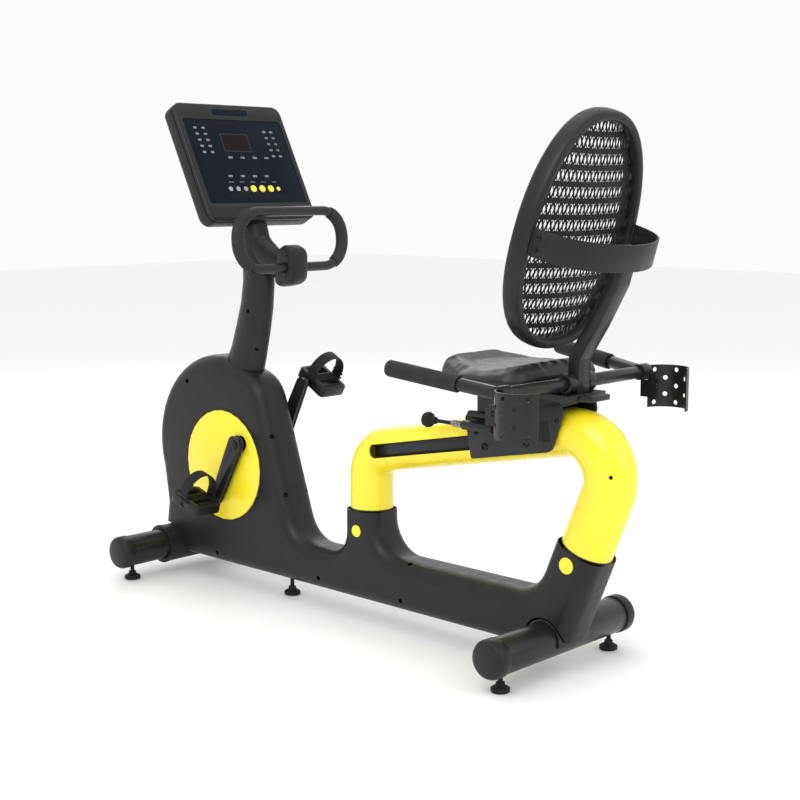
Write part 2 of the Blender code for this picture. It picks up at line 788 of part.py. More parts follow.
def make_belt():
    """A ribbed belt round both pulleys, as an open loop of its real path."""
    crank = Vector((CRANK_X, CRANK_Z))
    wheel = Vector((FLYWHEEL_X, FLYWHEEL_Z))
    between = wheel - crank
    lean = math.atan2(between.y, between.x)
    spread = math.acos((PULLEY_RADIUS - SMALL_PULLEY_RADIUS) / between.length)
    rings = []
    for thickness in (GAP * 2, 0.0035):
        outline = []
        for centre, radius, start, sweep in (
            (crank, PULLEY_RADIUS, lean + spread, 2 * math.pi - 2 * spread),
            (wheel, SMALL_PULLEY_RADIUS, lean - spread, 2 * spread),
        ):
            count = 28 if radius > 0.05 else 10
            for i in range(count + 1):
                angle = start + sweep * i / count
                reach = radius + thickness
                outline.append((centre.x + reach * math.cos(angle), centre.y + reach * math.sin(angle)))
        rings.append(outline)
    inner, outer = rings
    levels = (BELT_Y - 0.0040, BELT_Y + 0.0040)
    section = [(inner, levels[0]), (outer, levels[0]), (outer, levels[1]), (inner, levels[1])]
    loops = [[(x, level, z) for x, z in ring] for ring, level in section]
    finish("drive_belt", loft(loops, closed=True), "rubber")


def make_brake():
    """Magnet carrier that straddles the flywheel's rim and swings on its pin."""
    section = [
        (0.112, -0.0350),
        (0.146, -0.0350),
        (0.146, -0.0005),
        (0.112, -0.0005),
        (0.112, -0.0035),
        (0.1385, -0.0035),
        (0.1385, -0.0320),
        (0.112, -0.0320),
    ]
    rings = []
    for i in range(9):
        angle = math.radians(62.0 + 58.0 * i / 8)
        ring = []
        for radius, y in section:
            ring.append((FLYWHEEL_X + radius * math.cos(angle), y, FLYWHEEL_Z + radius * math.sin(angle)))
        rings.append(ring)
    pivot = (BRAKE_X, 0, BRAKE_Z)
    item = finish("magnet_brake", loft(rings), "frame", pivot)
    ear_root = [(-0.546, 0.4665, 0.0), (-0.520, 0.448, 0.0)]
    ear = rounded(ear_root + [(-0.487, 0.468, 0.010), (-0.497, 0.492, 0.012)])
    join(item, plate(ear, -0.0150, -0.0010))
    join(item, rod(0.005, -0.0100, 0.0160, pivot, segments=16))


def make_pedals():
    for side, name in ((-1, "left"), (1, "right")):
        centre = pedal_centre(side)
        tilt = Matrix.Rotation(math.radians(PEDAL_TILT[name]), 4, "Y")
        item = finish(f"pedal_{name}", pedal_body(), "rubber", (0, 0, 0))
        move = Matrix.Translation(centre) @ tilt
        item.data.transform(move)
        item.data.transform(Matrix.Translation(-centre))
        item.location = centre
        strap = finish(f"pedal_strap_{name}", strap_body(), "rubber", (0, 0, 0))
        strap.data.transform(move)
        strap.data.transform(Matrix.Translation(-centre))
        strap.location = centre


def pedal_body():
    """A platform pedal with side openings, centred on its spindle."""
    corners = [
        (-PEDAL_HALF_X, -PEDAL_HALF_Y, 0.012),
        (PEDAL_HALF_X, -PEDAL_HALF_Y, 0.012),
        (PEDAL_HALF_X, PEDAL_HALF_Y, 0.012),
        (-PEDAL_HALF_X, PEDAL_HALF_Y, 0.012),
    ]
    mesh = rounded_plate(rounded(corners, 3), -PEDAL_HALF_Z, PEDAL_HALF_Z, 0.004, "Z")
    slab = finish("pedal_slab", mesh, "rubber")
    cut(slab, rod(0.0073, -0.1, 0.1, (0, 0, 0), segments=16))
    for x in (-1, 1):
        low = (min(x * 0.014, x * 0.036), -0.030, -0.02)
        high = (max(x * 0.014, x * 0.036), 0.030, 0.02)
        cut(slab, box(low, high))
    bpy.context.view_layer.update()
    mesh = bmesh.new()
    mesh.from_object(slab, bpy.context.evaluated_depsgraph_get())
    for modifier in list(slab.modifiers):
        bpy.data.objects.remove(modifier.object, do_unlink=True)
    bpy.data.objects.remove(slab, do_unlink=True)
    return mesh


def strap_body():
    """A toe strap: a flat band from one end of the pedal, over the foot, to the other end."""
    reach = PEDAL_HALF_Y + 0.0030
    path = [Vector((0, -reach, 0.0085)), Vector((0, -reach, 0.014))]
    for i in range(11):
        angle = math.radians(168.0 - 156.0 * i / 10)
        path.append(Vector((0, 0.050 * math.cos(angle), 0.022 + 0.062 * math.sin(angle))))
    path += [Vector((0, reach, 0.014)), Vector((0, reach, 0.0085))]
    half = 0.00125
    section = [(-STRAP_HALF_X, -half), (STRAP_HALF_X, -half), (STRAP_HALF_X, half), (-STRAP_HALF_X, half)]
    return bar(path, [(b, a) for a, b in section], up=(1, 0, 0))


# ---------------------------------------------------------------- rail


def rail_path():
    """The bent tube's middle line, from the front joint to the rear joint."""
    corner_front = on_rail(-(RAIL_X - FRONT_RISER_X) / math.cos(RAIL_ANGLE), 0.0)
    slope = math.tan(RAIL_ANGLE)
    cot = math.cos(REAR_RISER_ANGLE) / math.sin(REAR_RISER_ANGLE)
    rise = (RAIL_Z + slope * (REAR_JOINT_X - RAIL_X) - REAR_JOINT_Z) / (1 - slope * cot)
    corner_rear = Vector((REAR_JOINT_X + rise * cot, 0.0, REAR_JOINT_Z + rise))
    start = Vector((FRONT_RISER_X, 0.0, FRONT_JOINT_Z + GAP))
    end = REAR_JOINT + REAR_DIRECTION * GAP
    front = bend([start, corner_front, on_rail(0.1, 0.0)], 0.072, 5)[:-1]
    rear = bend([on_rail(0.3, 0.0), corner_rear, end], 0.095, 6)[1:]
    return front + rear


def slot_cutter(y_start, y_end):
    ends = [SLOT_START, SLOT_END]
    corners = [
        (ends[0], -SLOT_HALF, 0.012),
        (ends[1], -SLOT_HALF, 0.012),
        (ends[1], SLOT_HALF, 0.012),
        (ends[0], SLOT_HALF, 0.012),
    ]
    return rail_plate(corners, y_start, y_end)


def make_rail():
    path = rail_path()
    bore = TUBE_RADIUS - TUBE_WALL
    outer = rings_along(path, oval(TUBE_RADIUS, TUBE_RADIUS, 20), (0.0, 1.0, 0.0))
    inner = rings_along(path, oval(bore, bore, 20), (0.0, 1.0, 0.0))
    swell_start = on_rail(0.445, 0.0).x
    swell_end = REAR_JOINT_X + 0.030
    passed = False
    for i, middle in enumerate(path):
        share = (middle.x - swell_start) / (swell_end - swell_start)
        passed = passed or share >= 1.0
        factor = TUBE_SWELL if passed else 1 + (TUBE_SWELL - 1) * max(0.0, share)
        for ring in (outer[i], inner[i]):
            for j, point in enumerate(ring):
                wide = middle + (point - middle) * factor
                ring[j] = Vector((wide.x, point.y, wide.z))
    tube = finish("seat_rail_tube", loft(outer + inner[::-1], closed=True), "yellow")
    cut(tube, slot_cutter(-0.08, -0.03))
    cut(tube, slot_cutter(0.03, 0.08))
    start = SLOT_START + 0.002
    end = SLOT_END - 0.002
    half = SLOT_HALF + 0.004
    corners = [(start, -half, 0.0), (end, -half, 0.0), (end, half, 0.0), (start, half, 0.0)]
    finish("rail_track", rail_plate(corners, -0.034, 0.034), "frame")


# ---------------------------------------------------------------- mast, handlebar, console


def console_point(across, up, out=0.0):
    """A point on the console's face: across is +Y, up lies in the face, out goes towards the rider."""
    sin_t = math.sin(CONSOLE_TILT)
    cos_t = math.cos(CONSOLE_TILT)
    return Vector((CONSOLE_X - up * sin_t + out * cos_t, across, CONSOLE_Z + up * cos_t + out * sin_t))


def mast_solid(grow=0.0):
    """The moulded mast: an oval post that leans back, then curves up to the console."""
    seat = MAST_SEAT - MAST_DIRECTION * MAST_DEPTH
    stations = [
        (seat, 0.064, 0.039),
        (seat + MAST_DIRECTION * 0.045, 0.060, 0.037),
        (Vector((-0.4380, 0, 0.700)), 0.057, 0.0350),
        (Vector((-0.4210, 0, 0.765)), 0.053, 0.0340),
        (Vector((-0.4130, 0, 0.830)), 0.051, 0.0330),
        (Vector((-0.4150, 0, 0.890)), 0.049, 0.0330),
        (Vector((-0.4240, 0, 0.945)), 0.042, 0.0330),
        (Vector((-0.4420, 0, 1.000)), 0.040, 0.0360),
        (Vector((-0.4660, 0, 1.050)), 0.036, 0.0380),
    ]
    path = [station[0] for station in stations]
    rings = []
    count = 20
    for (point, depth, width), (side, top) in zip(stations, frames_along(path, (0, 1, 0))):
        ring = []
        for a, b in oval(depth + grow, width + grow, count):
            ring.append(point + side * a + top * b)
        rings.append(ring)
    return loft(rings)


def make_mast():
    item = finish("mast", mast_solid(), "body")
    reach = GAP * 2
    room = console_plate(
        CONSOLE_HALF_W + reach, CONSOLE_HALF_H + reach, 0.026, -CONSOLE_DEPTH - reach, 0.060, edge=0.010
    )
    cut(item, room)


def bar_path():
    """The closed ring of the handlebar, a rounded rectangle seen from the seat."""
    corners = [
        (-BAR_HALF, -BAR_HEIGHT / 2, 0.068),
        (BAR_HALF, -BAR_HEIGHT / 2, 0.068),
        (BAR_HALF, BAR_HEIGHT / 2, 0.068),
        (-BAR_HALF, BAR_HEIGHT / 2, 0.068),
    ]
    path = []
    for y, height in rounded(corners, 8):
        path.append(Vector((BAR_X - height * math.sin(BAR_LEAN), y, BAR_Z + height * math.cos(BAR_LEAN))))
    return path


def make_handlebar():
    path = bar_path()
    count = len(path)
    bare = oval(BAR_RADIUS, BAR_RADIUS, 10)
    finish("handlebar_ring", bar(path, bare, up=(1, 0, 0), closed=True), "frame")
    inner = rings_along(path, oval(BAR_RADIUS + 0.0006, BAR_RADIUS + 0.0006, 10), (1, 0, 0), True)
    outer = rings_along(path, oval(BAR_RADIUS + 0.0035, BAR_RADIUS + 0.0035, 10), (1, 0, 0), True)
    steps = count // 4
    for name, first in (("left", 3 * steps + 2), ("right", steps + 3)):
        picked = [(first + i) % count for i in range(2 * steps - 5)]
        rings = [outer[i] for i in picked] + [inner[i] for i in reversed(picked)]
        finish(f"handlebar_grip_{name}", loft(rings, closed=True), "rubber")
    make_boss()


def make_boss():
    """The clamp that holds the ring's lower bar on the mast."""
    low_x = BAR_X + math.sin(BAR_LEAN) * BAR_HEIGHT / 2
    low_z = BAR_Z - math.cos(BAR_LEAN) * BAR_HEIGHT / 2
    corners = [
        (low_x - 0.050, low_z - 0.056, 0.020),
        (low_x + 0.028, low_z - 0.040, 0.030),
        (low_x + 0.030, low_z + 0.052, 0.030),
        (low_x - 0.030, low_z + 0.062, 0.028),
    ]
    item = finish("handlebar_boss", rounded_plate(rounded(corners), -0.031, 0.031, 0.014), "body")
    arm = [Vector((low_x - 0.012, 0, low_z + 0.004)), Vector((-0.416, 0, low_z - 0.002))]
    join(item, bar(arm, oval(0.031, 0.0245, 20)))
    cut(item, rod(BAR_RADIUS + GAP * 2, -0.1, 0.1, (low_x, 0, low_z), segments=24))
    cut(item, mast_solid(GAP * 2))


def console_plate(half_w, half_h, radius, start, end, low_extra=0.0, edge=0.004):
    """A rounded slab parallel to the console's face."""
    corners = [
        (-half_w, -half_h - low_extra, radius),
        (half_w, -half_h - low_extra, radius),
        (half_w, half_h, radius),
        (-half_w, half_h, radius),
    ]
    outline = rounded(corners, 4)
    rings = []
    for level, inset in ((start, edge), (start + edge, 0.0), (end - edge, 0.0), (end, edge)):
        rings.append([console_point(y, z, level) for y, z in offset(outline, inset)])
    return loft(rings)


def make_console():
    half_w = CONSOLE_HALF_W
    half_h = CONSOLE_HALF_H
    shell = console_plate(half_w, half_h, CONSOLE_CORNER, -CONSOLE_DEPTH, BEZEL_BACK - GAP, edge=0.010)
    back = finish("console_back", shell, "body")
    cut(back, console_plate(
        half_w - CONSOLE_WALL, half_h - CONSOLE_WALL, CONSOLE_CORNER - CONSOLE_WALL,
        -CONSOLE_DEPTH + CONSOLE_WALL, 0.010, edge=0.008,
    ))
    rim = console_plate(half_w, half_h, CONSOLE_CORNER, BEZEL_BACK, 0.0, edge=0.003)
    face = finish("console_bezel", rim, "body")
    cut(face, console_plate(SCREEN_HALF_W, SCREEN_HALF_H, 0.008, SCREEN_BACK - GAP, 0.02, edge=0.0))
    inset = SCREEN_HALF_W - 0.0004, SCREEN_HALF_H - 0.0004
    panel = console_plate(*inset, 0.008, SCREEN_BACK, -0.0012, edge=0.0005)
    item = finish("console_screen", panel, "screen")
    for i, (across, up) in enumerate(KEY_PLACES, 1):
        cut(item, turned_on_console(across, up, KEY_RADIUS + 0.0005, KEY_FLOOR, 0.01))
        key = turned_on_console(across, up, KEY_RADIUS, KEY_BASE, 0.0012)
        finish(f"console_key_{i}", key, "yellow", console_point(across, up, 0.0))


def turned_on_console(across, up, radius, start, end, count=20):
    """A short round piece that stands out of the console's face."""
    rings = []
    for level in (start, end):
        ring = []
        for i in range(count):
            angle = 2 * math.pi * i / count
            spot = across + radius * math.cos(angle), up + radius * math.sin(angle)
            ring.append(console_point(*spot, level))
        rings.append(ring)
    return loft(rings)


# ---------------------------------------------------------------- seat carriage


def make_carriage():
    """The carriage straddles the rail. Its rollers run in the rail's slots."""
    clear = TUBE_RADIUS + 0.005
    side_out = clear + 0.006
    top = clear + 0.008
    profile = [
        (0.180, -0.036, 0.006),
        (0.412, -0.036, 0.020),
        (0.455, 0.040, 0.010),
        (0.455, top, 0.004),
        (0.180, top, 0.010),
    ]
    item = finish("seat_carriage", rail_plate(profile, -side_out, side_out), "frame")
    hollow = [(0.0, -0.2, 0.0), (0.6, -0.2, 0.0), (0.6, clear, 0.0), (0.0, clear, 0.0)]
    cut(item, rail_plate(hollow, -clear, clear))
    upper = rounded([
        (0.400, 0.569, 0.006),
        (0.634, 0.6146, 0.010),
        (0.655, 0.620, 0.006),
        (0.662, PAN_Z - GAP, 0.002),
        (0.400, PAN_Z - GAP, 0.002),
    ])
    wide = side_out - 0.0015
    join(item, plate(upper, -wide, wide))
    tail_top = PAN_Z - 0.001
    tail = [(0.640, 0.6195, 0.0), (0.694, 0.6215, 0.004), (0.694, tail_top, 0.004), (0.640, tail_top, 0.0)]
    join(item, plate(rounded(tail), -TAIL_HALF, TAIL_HALF))
    bay = [(0.406, 0.5785), (0.598, 0.6160), (0.598, 0.700), (0.406, 0.700)]
    cut(item, plate(bay, -wide + CARRIAGE_WALL, wide - CARRIAGE_WALL))
    for along in (0.225, 0.345):
        for side in (-1, 1):
            spot = on_rail(along, 0.0)
            spot.y = 0.0
            join(item, rod(0.0135, side * 0.0385, side * (clear + 0.003), spot, segments=16))
    tube_seat = rod(HANDLE_RADIUS + 0.008, -0.047, 0.047, (CROSS_X, 0, CROSS_Z), segments=24)
    join(item, tube_seat)
    cut(item, rod(HANDLE_RADIUS + GAP * 2, -0.2, 0.2, (CROSS_X, 0, CROSS_Z), segments=24))
    housing = rod(0.011, KNOB_HOUSING[0], KNOB_HOUSING[1], (0, KNOB[1], KNOB_ROD_Z), "X", 16)
    join(item, housing)
    lug_low = (KNOB_HOUSING[0] + 0.012, KNOB[1], KNOB_ROD_Z - 0.008)
    lug_high = (KNOB_HOUSING[1] - 0.004, -side_out + 0.004, KNOB_ROD_Z + 0.008)
    lug = box(lug_low, lug_high)
    join(item, lug)
    rod_bore = rod(KNOB_ROD_RADIUS + 0.0005, 0.2, KNOB_HOUSING[1] - 0.006, (0, KNOB[1], KNOB_ROD_Z), "X", 12)
    cut(item, rod_bore)
    post = post_box(0.0006)
    cut(item, post)


def make_pull_knob():
    """A spring-loaded pull knob that frees the carriage."""
    profile = [
        (0.008, KNOB[0] - 0.0215),
        (0.0160, KNOB[0] - 0.0200),
        (0.0185, KNOB[0] - 0.0120),
        (0.0165, KNOB[0] - 0.0040),
        (0.0085, KNOB[0] + 0.0020),
        (0.0085, KNOB[0] + 0.0120),
        (KNOB_ROD_RADIUS, KNOB[0] + 0.0130),
        (KNOB_ROD_RADIUS, KNOB_HOUSING[1] - 0.010),
    ]
    origin = (KNOB_HOUSING[0], KNOB[1], KNOB_ROD_Z)
    finish("seat_pull_knob", turned_solid(profile, (0, KNOB[1], KNOB_ROD_Z), "X", 20), "rubber", origin)


def seat_outline(inset=0.0):
    """The seat from above: a narrow nose, widening to the hips."""
    corners = [
        (0.300, -0.095, 0.060),
        (0.440, -0.178, 0.120),
        (0.590, -0.170, 0.055),
        (0.590, 0.170, 0.055),
        (0.440, 0.178, 0.120),
        (0.300, 0.095, 0.060),
    ]
    return offset(rounded(corners, 5), inset)


def make_seat():
    pan = rounded_plate(seat_outline(0.022), PAN_Z, PAN_Z + 0.010, 0.004, "Z", 1)
    finish("seat_pan", pan, "body")
    finish("seat_pad", seat_cushion(), "cloth")


def ramp(value):
    """A smooth step from 0 to 1."""
    value = min(1.0, max(0.0, value))
    return value * value * (3 - 2 * value)


def seat_rise(x):
    """How far the cushion's top stands over its lowest part: it rises to the nose and to the rear."""
    return NOSE_RISE * ramp((0.395 - x) / 0.085) + REAR_RISE * ramp((x - 0.490) / 0.090)


def seat_cushion():
    """The cushion's closed form, crowned towards the middle."""
    base = PAN_Z + 0.010 + GAP
    centre = Vector((0.450, 0.0))
    crown = [(0.0, 0.010), (0.25, 0.001), (0.55, 0.0), (0.82, 0.007), (0.95, 0.018), (1.0, 0.036)]
    levels = [(share, [Vector(point) for point in seat_outline(inset)]) for share, inset in crown]
    for factor in (0.66, 0.33):
        levels.append((1.0, [centre + (point - centre) * factor for point in levels[5][1]]))
    rings = []
    for share, outline in levels:
        ring = []
        for x, y in outline:
            ring.append((x, y, base + share * (PAD_HEIGHT + share * seat_rise(x))))
        rings.append(ring)
    return loft(rings)


def make_cross_tube():
    radius = HANDLE_RADIUS
    centre = (CROSS_X, 0, CROSS_Z)
    pipe = sleeve(radius - 0.002, radius, -CROSS_HALF, CROSS_HALF, centre, segments=24)
    tube = finish("seat_cross_tube", pipe, "frame")
    cut(tube, post_box(0.0006))
    for side, name in ((-1, "left"), (1, "right")):
        make_seat_handle(side, name)
        make_holder(side, name)


def make_seat_handle(side, name):
    """The handle clamps on the end of the cross tube and runs forward beside the seat."""
    start = Vector((CROSS_X, side * (CROSS_HALF + 0.017), CROSS_Z))
    tip = Vector((HANDLE_TIP[0], side * HANDLE_TIP[1], HANDLE_TIP[2]))
    along = (tip - start).normalized()
    grip_start = start + along * 0.105
    section = oval(HANDLE_RADIUS, HANDLE_RADIUS, 16)
    item = finish(f"seat_handle_{name}", bar([start, tip], section, up=(0, 0, 1)), "frame")
    inner = CROSS_HALF + GAP
    outer = CROSS_HALF + CLAMP_LENGTH
    join(item, rod(0.0185, side * inner, side * outer, (CROSS_X, 0, CROSS_Z), segments=20))
    hollow = HANDLE_RADIUS + 0.0006
    grip_end = tip + along * 0.004
    sleeve_path = [grip_start, grip_start + (tip - grip_start) * 0.5, tip - along * 0.001]
    outside = rings_along(sleeve_path, oval(hollow + 0.0035, hollow + 0.0035, 16), (0, 0, 1))
    inside = rings_along([grip_start, tip + along * GAP], oval(hollow, hollow, 16), (0, 0, 1))
    closed_end = rings_along([tip, grip_end], oval(hollow + 0.0015, hollow + 0.0015, 16), (0, 0, 1))[1]
    rings = [inside[1], inside[0], outside[0], outside[1], outside[2], closed_end]
    finish(f"seat_grip_{name}", loft(rings), "rubber")


def make_holder(side, name):
    """A curved plate behind the handle's clamp, bowed outward, open at the top, bottom and inner side."""
    centre = Vector((HOLDER_X, side * (HOLDER_Y - 0.014), HOLDER_Z))
    thickness = 0.003
    half_height = 0.049
    rings = []
    for i in range(15):
        angle = math.radians(6.0 + 166.0 * i / 14)
        direction = Vector((math.cos(angle), side * math.sin(angle), 0.0))
        ring = []
        for radius, height in (
            (HOLDER_RADIUS, -half_height),
            (HOLDER_RADIUS + thickness, -half_height),
            (HOLDER_RADIUS + thickness, half_height),
            (HOLDER_RADIUS, half_height),
        ):
            ring.append(centre + direction * radius + Vector((0, 0, height)))
        rings.append(ring)
    item = finish(f"holder_plate_{name}", loft(rings), "frame")
    end = CROSS_HALF + CLAMP_LENGTH + GAP
    outer = end + 0.022
    low = (CROSS_X - 0.014, min(side * end, side * outer), CROSS_Z - 0.060)
    high = (HOLDER_X - HOLDER_RADIUS + 0.012, max(side * end, side * outer), CROSS_Z - 0.0205)
    join(item, box(low, high))


# ---------------------------------------------------------------- backrest


def back_point(across, up, out=0.0):
    """A point in the backrest's plane. Out goes to the rear."""
    return BACK_CENTRE + Vector((0, across, 0)) + BACK_UP * up + BACK_OUT * out


def hoop_half_width(up):
    """Half the backrest's width at a height over its middle: a tall egg, widest below the middle."""
    share = up / (BACK_LENGTH / 2)
    return BACK_HALF * math.sqrt(max(0.0, 1 - abs(share) ** 2.3)) * (1 - BACK_EGG * share)


def hoop_path(shrink=0.0, count=40):
    """The middle line of the hoop, bowed to the rear at its sides' middle like a shallow dish."""
    points = []
    for i in range(count):
        angle = 2 * math.pi * i / count
        share = math.sin(angle)
        up = (BACK_LENGTH / 2 - shrink) * math.copysign(abs(share) ** 0.9, share)
        egg = 1 - BACK_EGG * share
        across = (BACK_HALF - shrink) * egg * math.copysign(abs(math.cos(angle)) ** 0.86, math.cos(angle))
        points.append((across, up))
    return points


def make_back_hoop():
    path = [back_point(a, u) for a, u in hoop_path(HOOP_WIDTH)]
    section = []
    for a, b in oval(1.0, 1.0, 8, 0.5):
        section.append((HOOP_WIDTH * a, HOOP_DEPTH * b))
    finish("back_hoop", bar(path, section, up=tuple(BACK_OUT), closed=True), "body")


def make_back_mesh():
    """The stretched mesh that fills the hoop, bowed to the rear."""
    mesh = bmesh.new()
    outline = hoop_path(2 * HOOP_WIDTH + 0.0008)
    layers = []
    for face in (-0.0015, 0.0015):
        rows = []
        for scale in (1.0, 0.66, 0.30):
            row = []
            for across, up in outline:
                bow = 0.020 * (1 - scale**2)
                row.append(mesh.verts.new(back_point(across * scale, up * scale, face + bow)))
            rows.append(row)
        layers.append(rows)
    count = len(outline)
    chain = layers[0][::-1] + layers[1]
    for low, high in zip(chain, chain[1:]):
        for i in range(count):
            j = (i + 1) % count
            mesh.faces.new((low[i], low[j], high[j], high[i]))
    mesh.faces.new(chain[0])
    mesh.faces.new(chain[-1])
    finish("back_mesh", mesh, "cloth")


def make_lumbar_band():
    """A wide band bowed behind the mesh, from one side of the hoop to the other."""
    start = HOOP_DEPTH + 0.001
    reach = BAND_REACH
    half = hoop_half_width(BAND_HEIGHT) - HOOP_WIDTH
    rings = []
    for i in range(19):
        angle = math.radians(180.0 * i / 18)
        across = -half * math.cos(angle)
        out = start + reach * math.sin(angle) ** 0.8
        inward = Vector((math.cos(angle) / max(half, 0.001), -math.sin(angle) / reach)).normalized()
        ring = []
        for thick, high in ((0.0, -0.030), (0.0, 0.030), (BAND_THICK, 0.030), (BAND_THICK, -0.030)):
            ring.append(back_point(across + inward.x * thick, BAND_HEIGHT + high, out + inward.y * thick))
        rings.append(ring)
    finish("lumbar_band", loft(rings), "body")


def post_path():
    """The post from the carriage up to the inside of the lumbar band."""
    post_out = HOOP_DEPTH + BAND_REACH - BAND_THICK - POST_SIZE[1] - 0.0010
    return bend(
        [
            Vector((0.632, 0, 0.618)),
            Vector((0.636, 0, 0.715)),
            Vector((0.684, 0, 0.790)),
            back_point(0, BAND_HEIGHT - 0.060, post_out),
            back_point(0, BAND_HEIGHT + 0.022, post_out),
        ],
        0.020,
        3,
    )


def post_box(grow):
    """Clearance for the lower end of the post."""
    half = (POST_SIZE[0] + grow, POST_SIZE[1] + grow)
    section = [(-half[1], -half[0]), (half[1], -half[0]), (half[1], half[0]), (-half[1], half[0])]
    path = [Vector((0.6316, 0, 0.600 - grow)), Vector((0.6360, 0, 0.715))]
    return bar(path, section)


def make_back_post():
    width, depth = POST_SIZE
    section = [(-depth, -width), (depth, -width), (depth, width), (-depth, width)]
    finish("back_post", bar(post_path(), section), "frame")


def main():
    clear_scene()
    make_stabilizer("front", STAB_FRONT_X)
    make_stabilizer("rear", STAB_REAR_X)
    make_stabilizer_brackets()
    make_feet()
    make_spine()
    make_shells()
    make_covers()
    make_crank_set()
    make_flywheel()
    make_belt()
    make_brake()
    make_pedals()
    make_rail()
    make_mast()
    make_handlebar()
    make_console()
    make_carriage()
    make_pull_knob()
    make_seat()
    make_cross_tube()
    make_back_hoop()
    make_back_mesh()
    make_lumbar_band()
    make_back_post()
    for item in bpy.data.objects:
        item.location.x += BIKE_SHIFT


main()
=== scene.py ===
"""Looks for the recumbent exercise bike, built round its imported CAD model."""

import json
import math

import bmesh
import bpy
from mathutils import Matrix, Vector

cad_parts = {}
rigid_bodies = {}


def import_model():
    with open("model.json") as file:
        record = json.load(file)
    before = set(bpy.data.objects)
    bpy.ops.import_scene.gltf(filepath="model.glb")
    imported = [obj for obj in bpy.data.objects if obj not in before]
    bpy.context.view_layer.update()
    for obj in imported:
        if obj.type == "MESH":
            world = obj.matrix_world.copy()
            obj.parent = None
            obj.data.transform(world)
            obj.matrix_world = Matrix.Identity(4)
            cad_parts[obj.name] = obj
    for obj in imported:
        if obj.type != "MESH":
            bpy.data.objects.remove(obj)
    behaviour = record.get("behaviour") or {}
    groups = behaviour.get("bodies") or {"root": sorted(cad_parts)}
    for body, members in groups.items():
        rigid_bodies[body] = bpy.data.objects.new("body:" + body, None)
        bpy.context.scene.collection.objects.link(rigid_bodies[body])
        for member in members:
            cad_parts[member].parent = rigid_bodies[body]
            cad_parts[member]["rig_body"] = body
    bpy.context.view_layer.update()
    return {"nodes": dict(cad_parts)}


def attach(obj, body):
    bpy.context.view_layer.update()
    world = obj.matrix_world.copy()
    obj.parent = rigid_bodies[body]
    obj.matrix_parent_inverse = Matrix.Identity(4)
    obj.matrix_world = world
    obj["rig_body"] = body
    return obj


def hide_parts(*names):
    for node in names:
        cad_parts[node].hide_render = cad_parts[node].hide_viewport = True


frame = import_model()

GAP = 0.0003
STAB_FRONT_X = -0.733
STAB_REAR_X = 0.587
STAB_Z = 0.080
SLEEVE_RADIUS = 0.052
SLEEVE_HALF = 0.100
SADDLE_RADIUS = 0.048
CENTRE_FOOT_X = -0.295
SHELL_HALF = 0.056
SHELL_WALL = 0.003
SHELL_ROUND = 0.038
BODY_BOTTOM = 0.052
BEAM_TOP = 0.179
HOUSING_X = -0.545
HOUSING_Z = 0.370
HOUSING_RADIUS = 0.255
COVER_X = -0.504
COVER_Z = 0.331
COVER_RADIUS = 0.150
TUBE_RADIUS = 0.0540
TUBE_SWELL = 1.13
TUBE_WALL = 0.003
STUB_HALF = 0.0555
REAR_STUB_HALF = 0.0620
FRONT_RISER_X = 0.0045
FRONT_JOINT_Z = 0.282
REAR_JOINT_X = 0.664
REAR_JOINT_Z = 0.290
REAR_RISER_ANGLE = math.radians(68.0)
RAIL_ANGLE = math.radians(11.0)
RAIL_X = 0.200
RAIL_Z = 0.466
SLOT_START = -0.155
SLOT_END = 0.420
SLOT_HALF = 0.017
CRANK_X = -0.420
CRANK_Z = 0.401
CRANK_LENGTH = 0.175
CRANK_LEAN = math.radians(27.7)
CRANK_Y = 0.0835
CRANK_THICK = 0.015
PEDAL_Y = 0.155
BAR_X = -0.283
BAR_Z = 0.943
BAR_RADIUS = 0.0125
BAR_HALF = 0.180
BAR_HEIGHT = 0.144
BAR_LEAN = math.radians(4.0)
CONSOLE_X = -0.457
CONSOLE_Z = 1.143
CONSOLE_TILT = math.radians(26.9)
CONSOLE_HALF_W = 0.183
CONSOLE_HALF_H = 0.168
CONSOLE_DEPTH = 0.050
CROSS_X = 0.627
CROSS_Z = 0.657
CROSS_HALF = 0.236
HANDLE_TIP = (0.354, 0.300, 0.692)
HOLDER_X = 0.683
HOLDER_Y = 0.2775
HOLDER_Z = 0.622
HOLDER_RADIUS = 0.050
BACK_BOTTOM = (0.545, 0.729)
BACK_TOP = (0.694, 1.240)
BACK_HALF = 0.194
KNOB = (0.296, -0.100, 0.547)
MAST_LEAN = math.radians(22.0)
MAST_SEAT = Vector((-0.470, 0.0, 0.6043))
MAST_DIRECTION = Vector((math.sin(MAST_LEAN), 0.0, math.cos(MAST_LEAN)))
MAST_DEPTH = 0.010
REAR_DIRECTION = Vector((math.cos(REAR_RISER_ANGLE), 0.0, math.sin(REAR_RISER_ANGLE)))
REAR_JOINT = Vector((REAR_JOINT_X, 0.0, REAR_JOINT_Z))
PEDAL_TILT = {"left": 18.0, "right": 30.0}
PEDAL_HALF_Y = 0.044
PEDAL_HALF_Z = 0.0150
CONSOLE_CORNER = 0.026
PAN_Z = 0.6360
PAD_BOTTOM = PAN_Z + 0.010 + GAP
SEAT_CENTRE_X = 0.450
PAD_HEIGHT = 0.035
NOSE_RISE = 0.026
REAR_RISE = 0.020
KNOB_ROD_Z = 0.549
KNOB_HOUSING = (0.392, 0.478)
BACK_AXIS = Vector((BACK_TOP[0] - BACK_BOTTOM[0], 0.0, BACK_TOP[1] - BACK_BOTTOM[1]))
BACK_LENGTH = BACK_AXIS.length
BACK_UP = BACK_AXIS.normalized()
BACK_OUT = Vector((BACK_UP.z, 0.0, -BACK_UP.x))
BACK_CENTRE = Vector(((BACK_TOP[0] + BACK_BOTTOM[0]) / 2, 0.0, (BACK_TOP[1] + BACK_BOTTOM[1]) / 2))
BACK_EGG = 0.09
HOOP_DEPTH = 0.025
HOOP_WIDTH = 0.0135
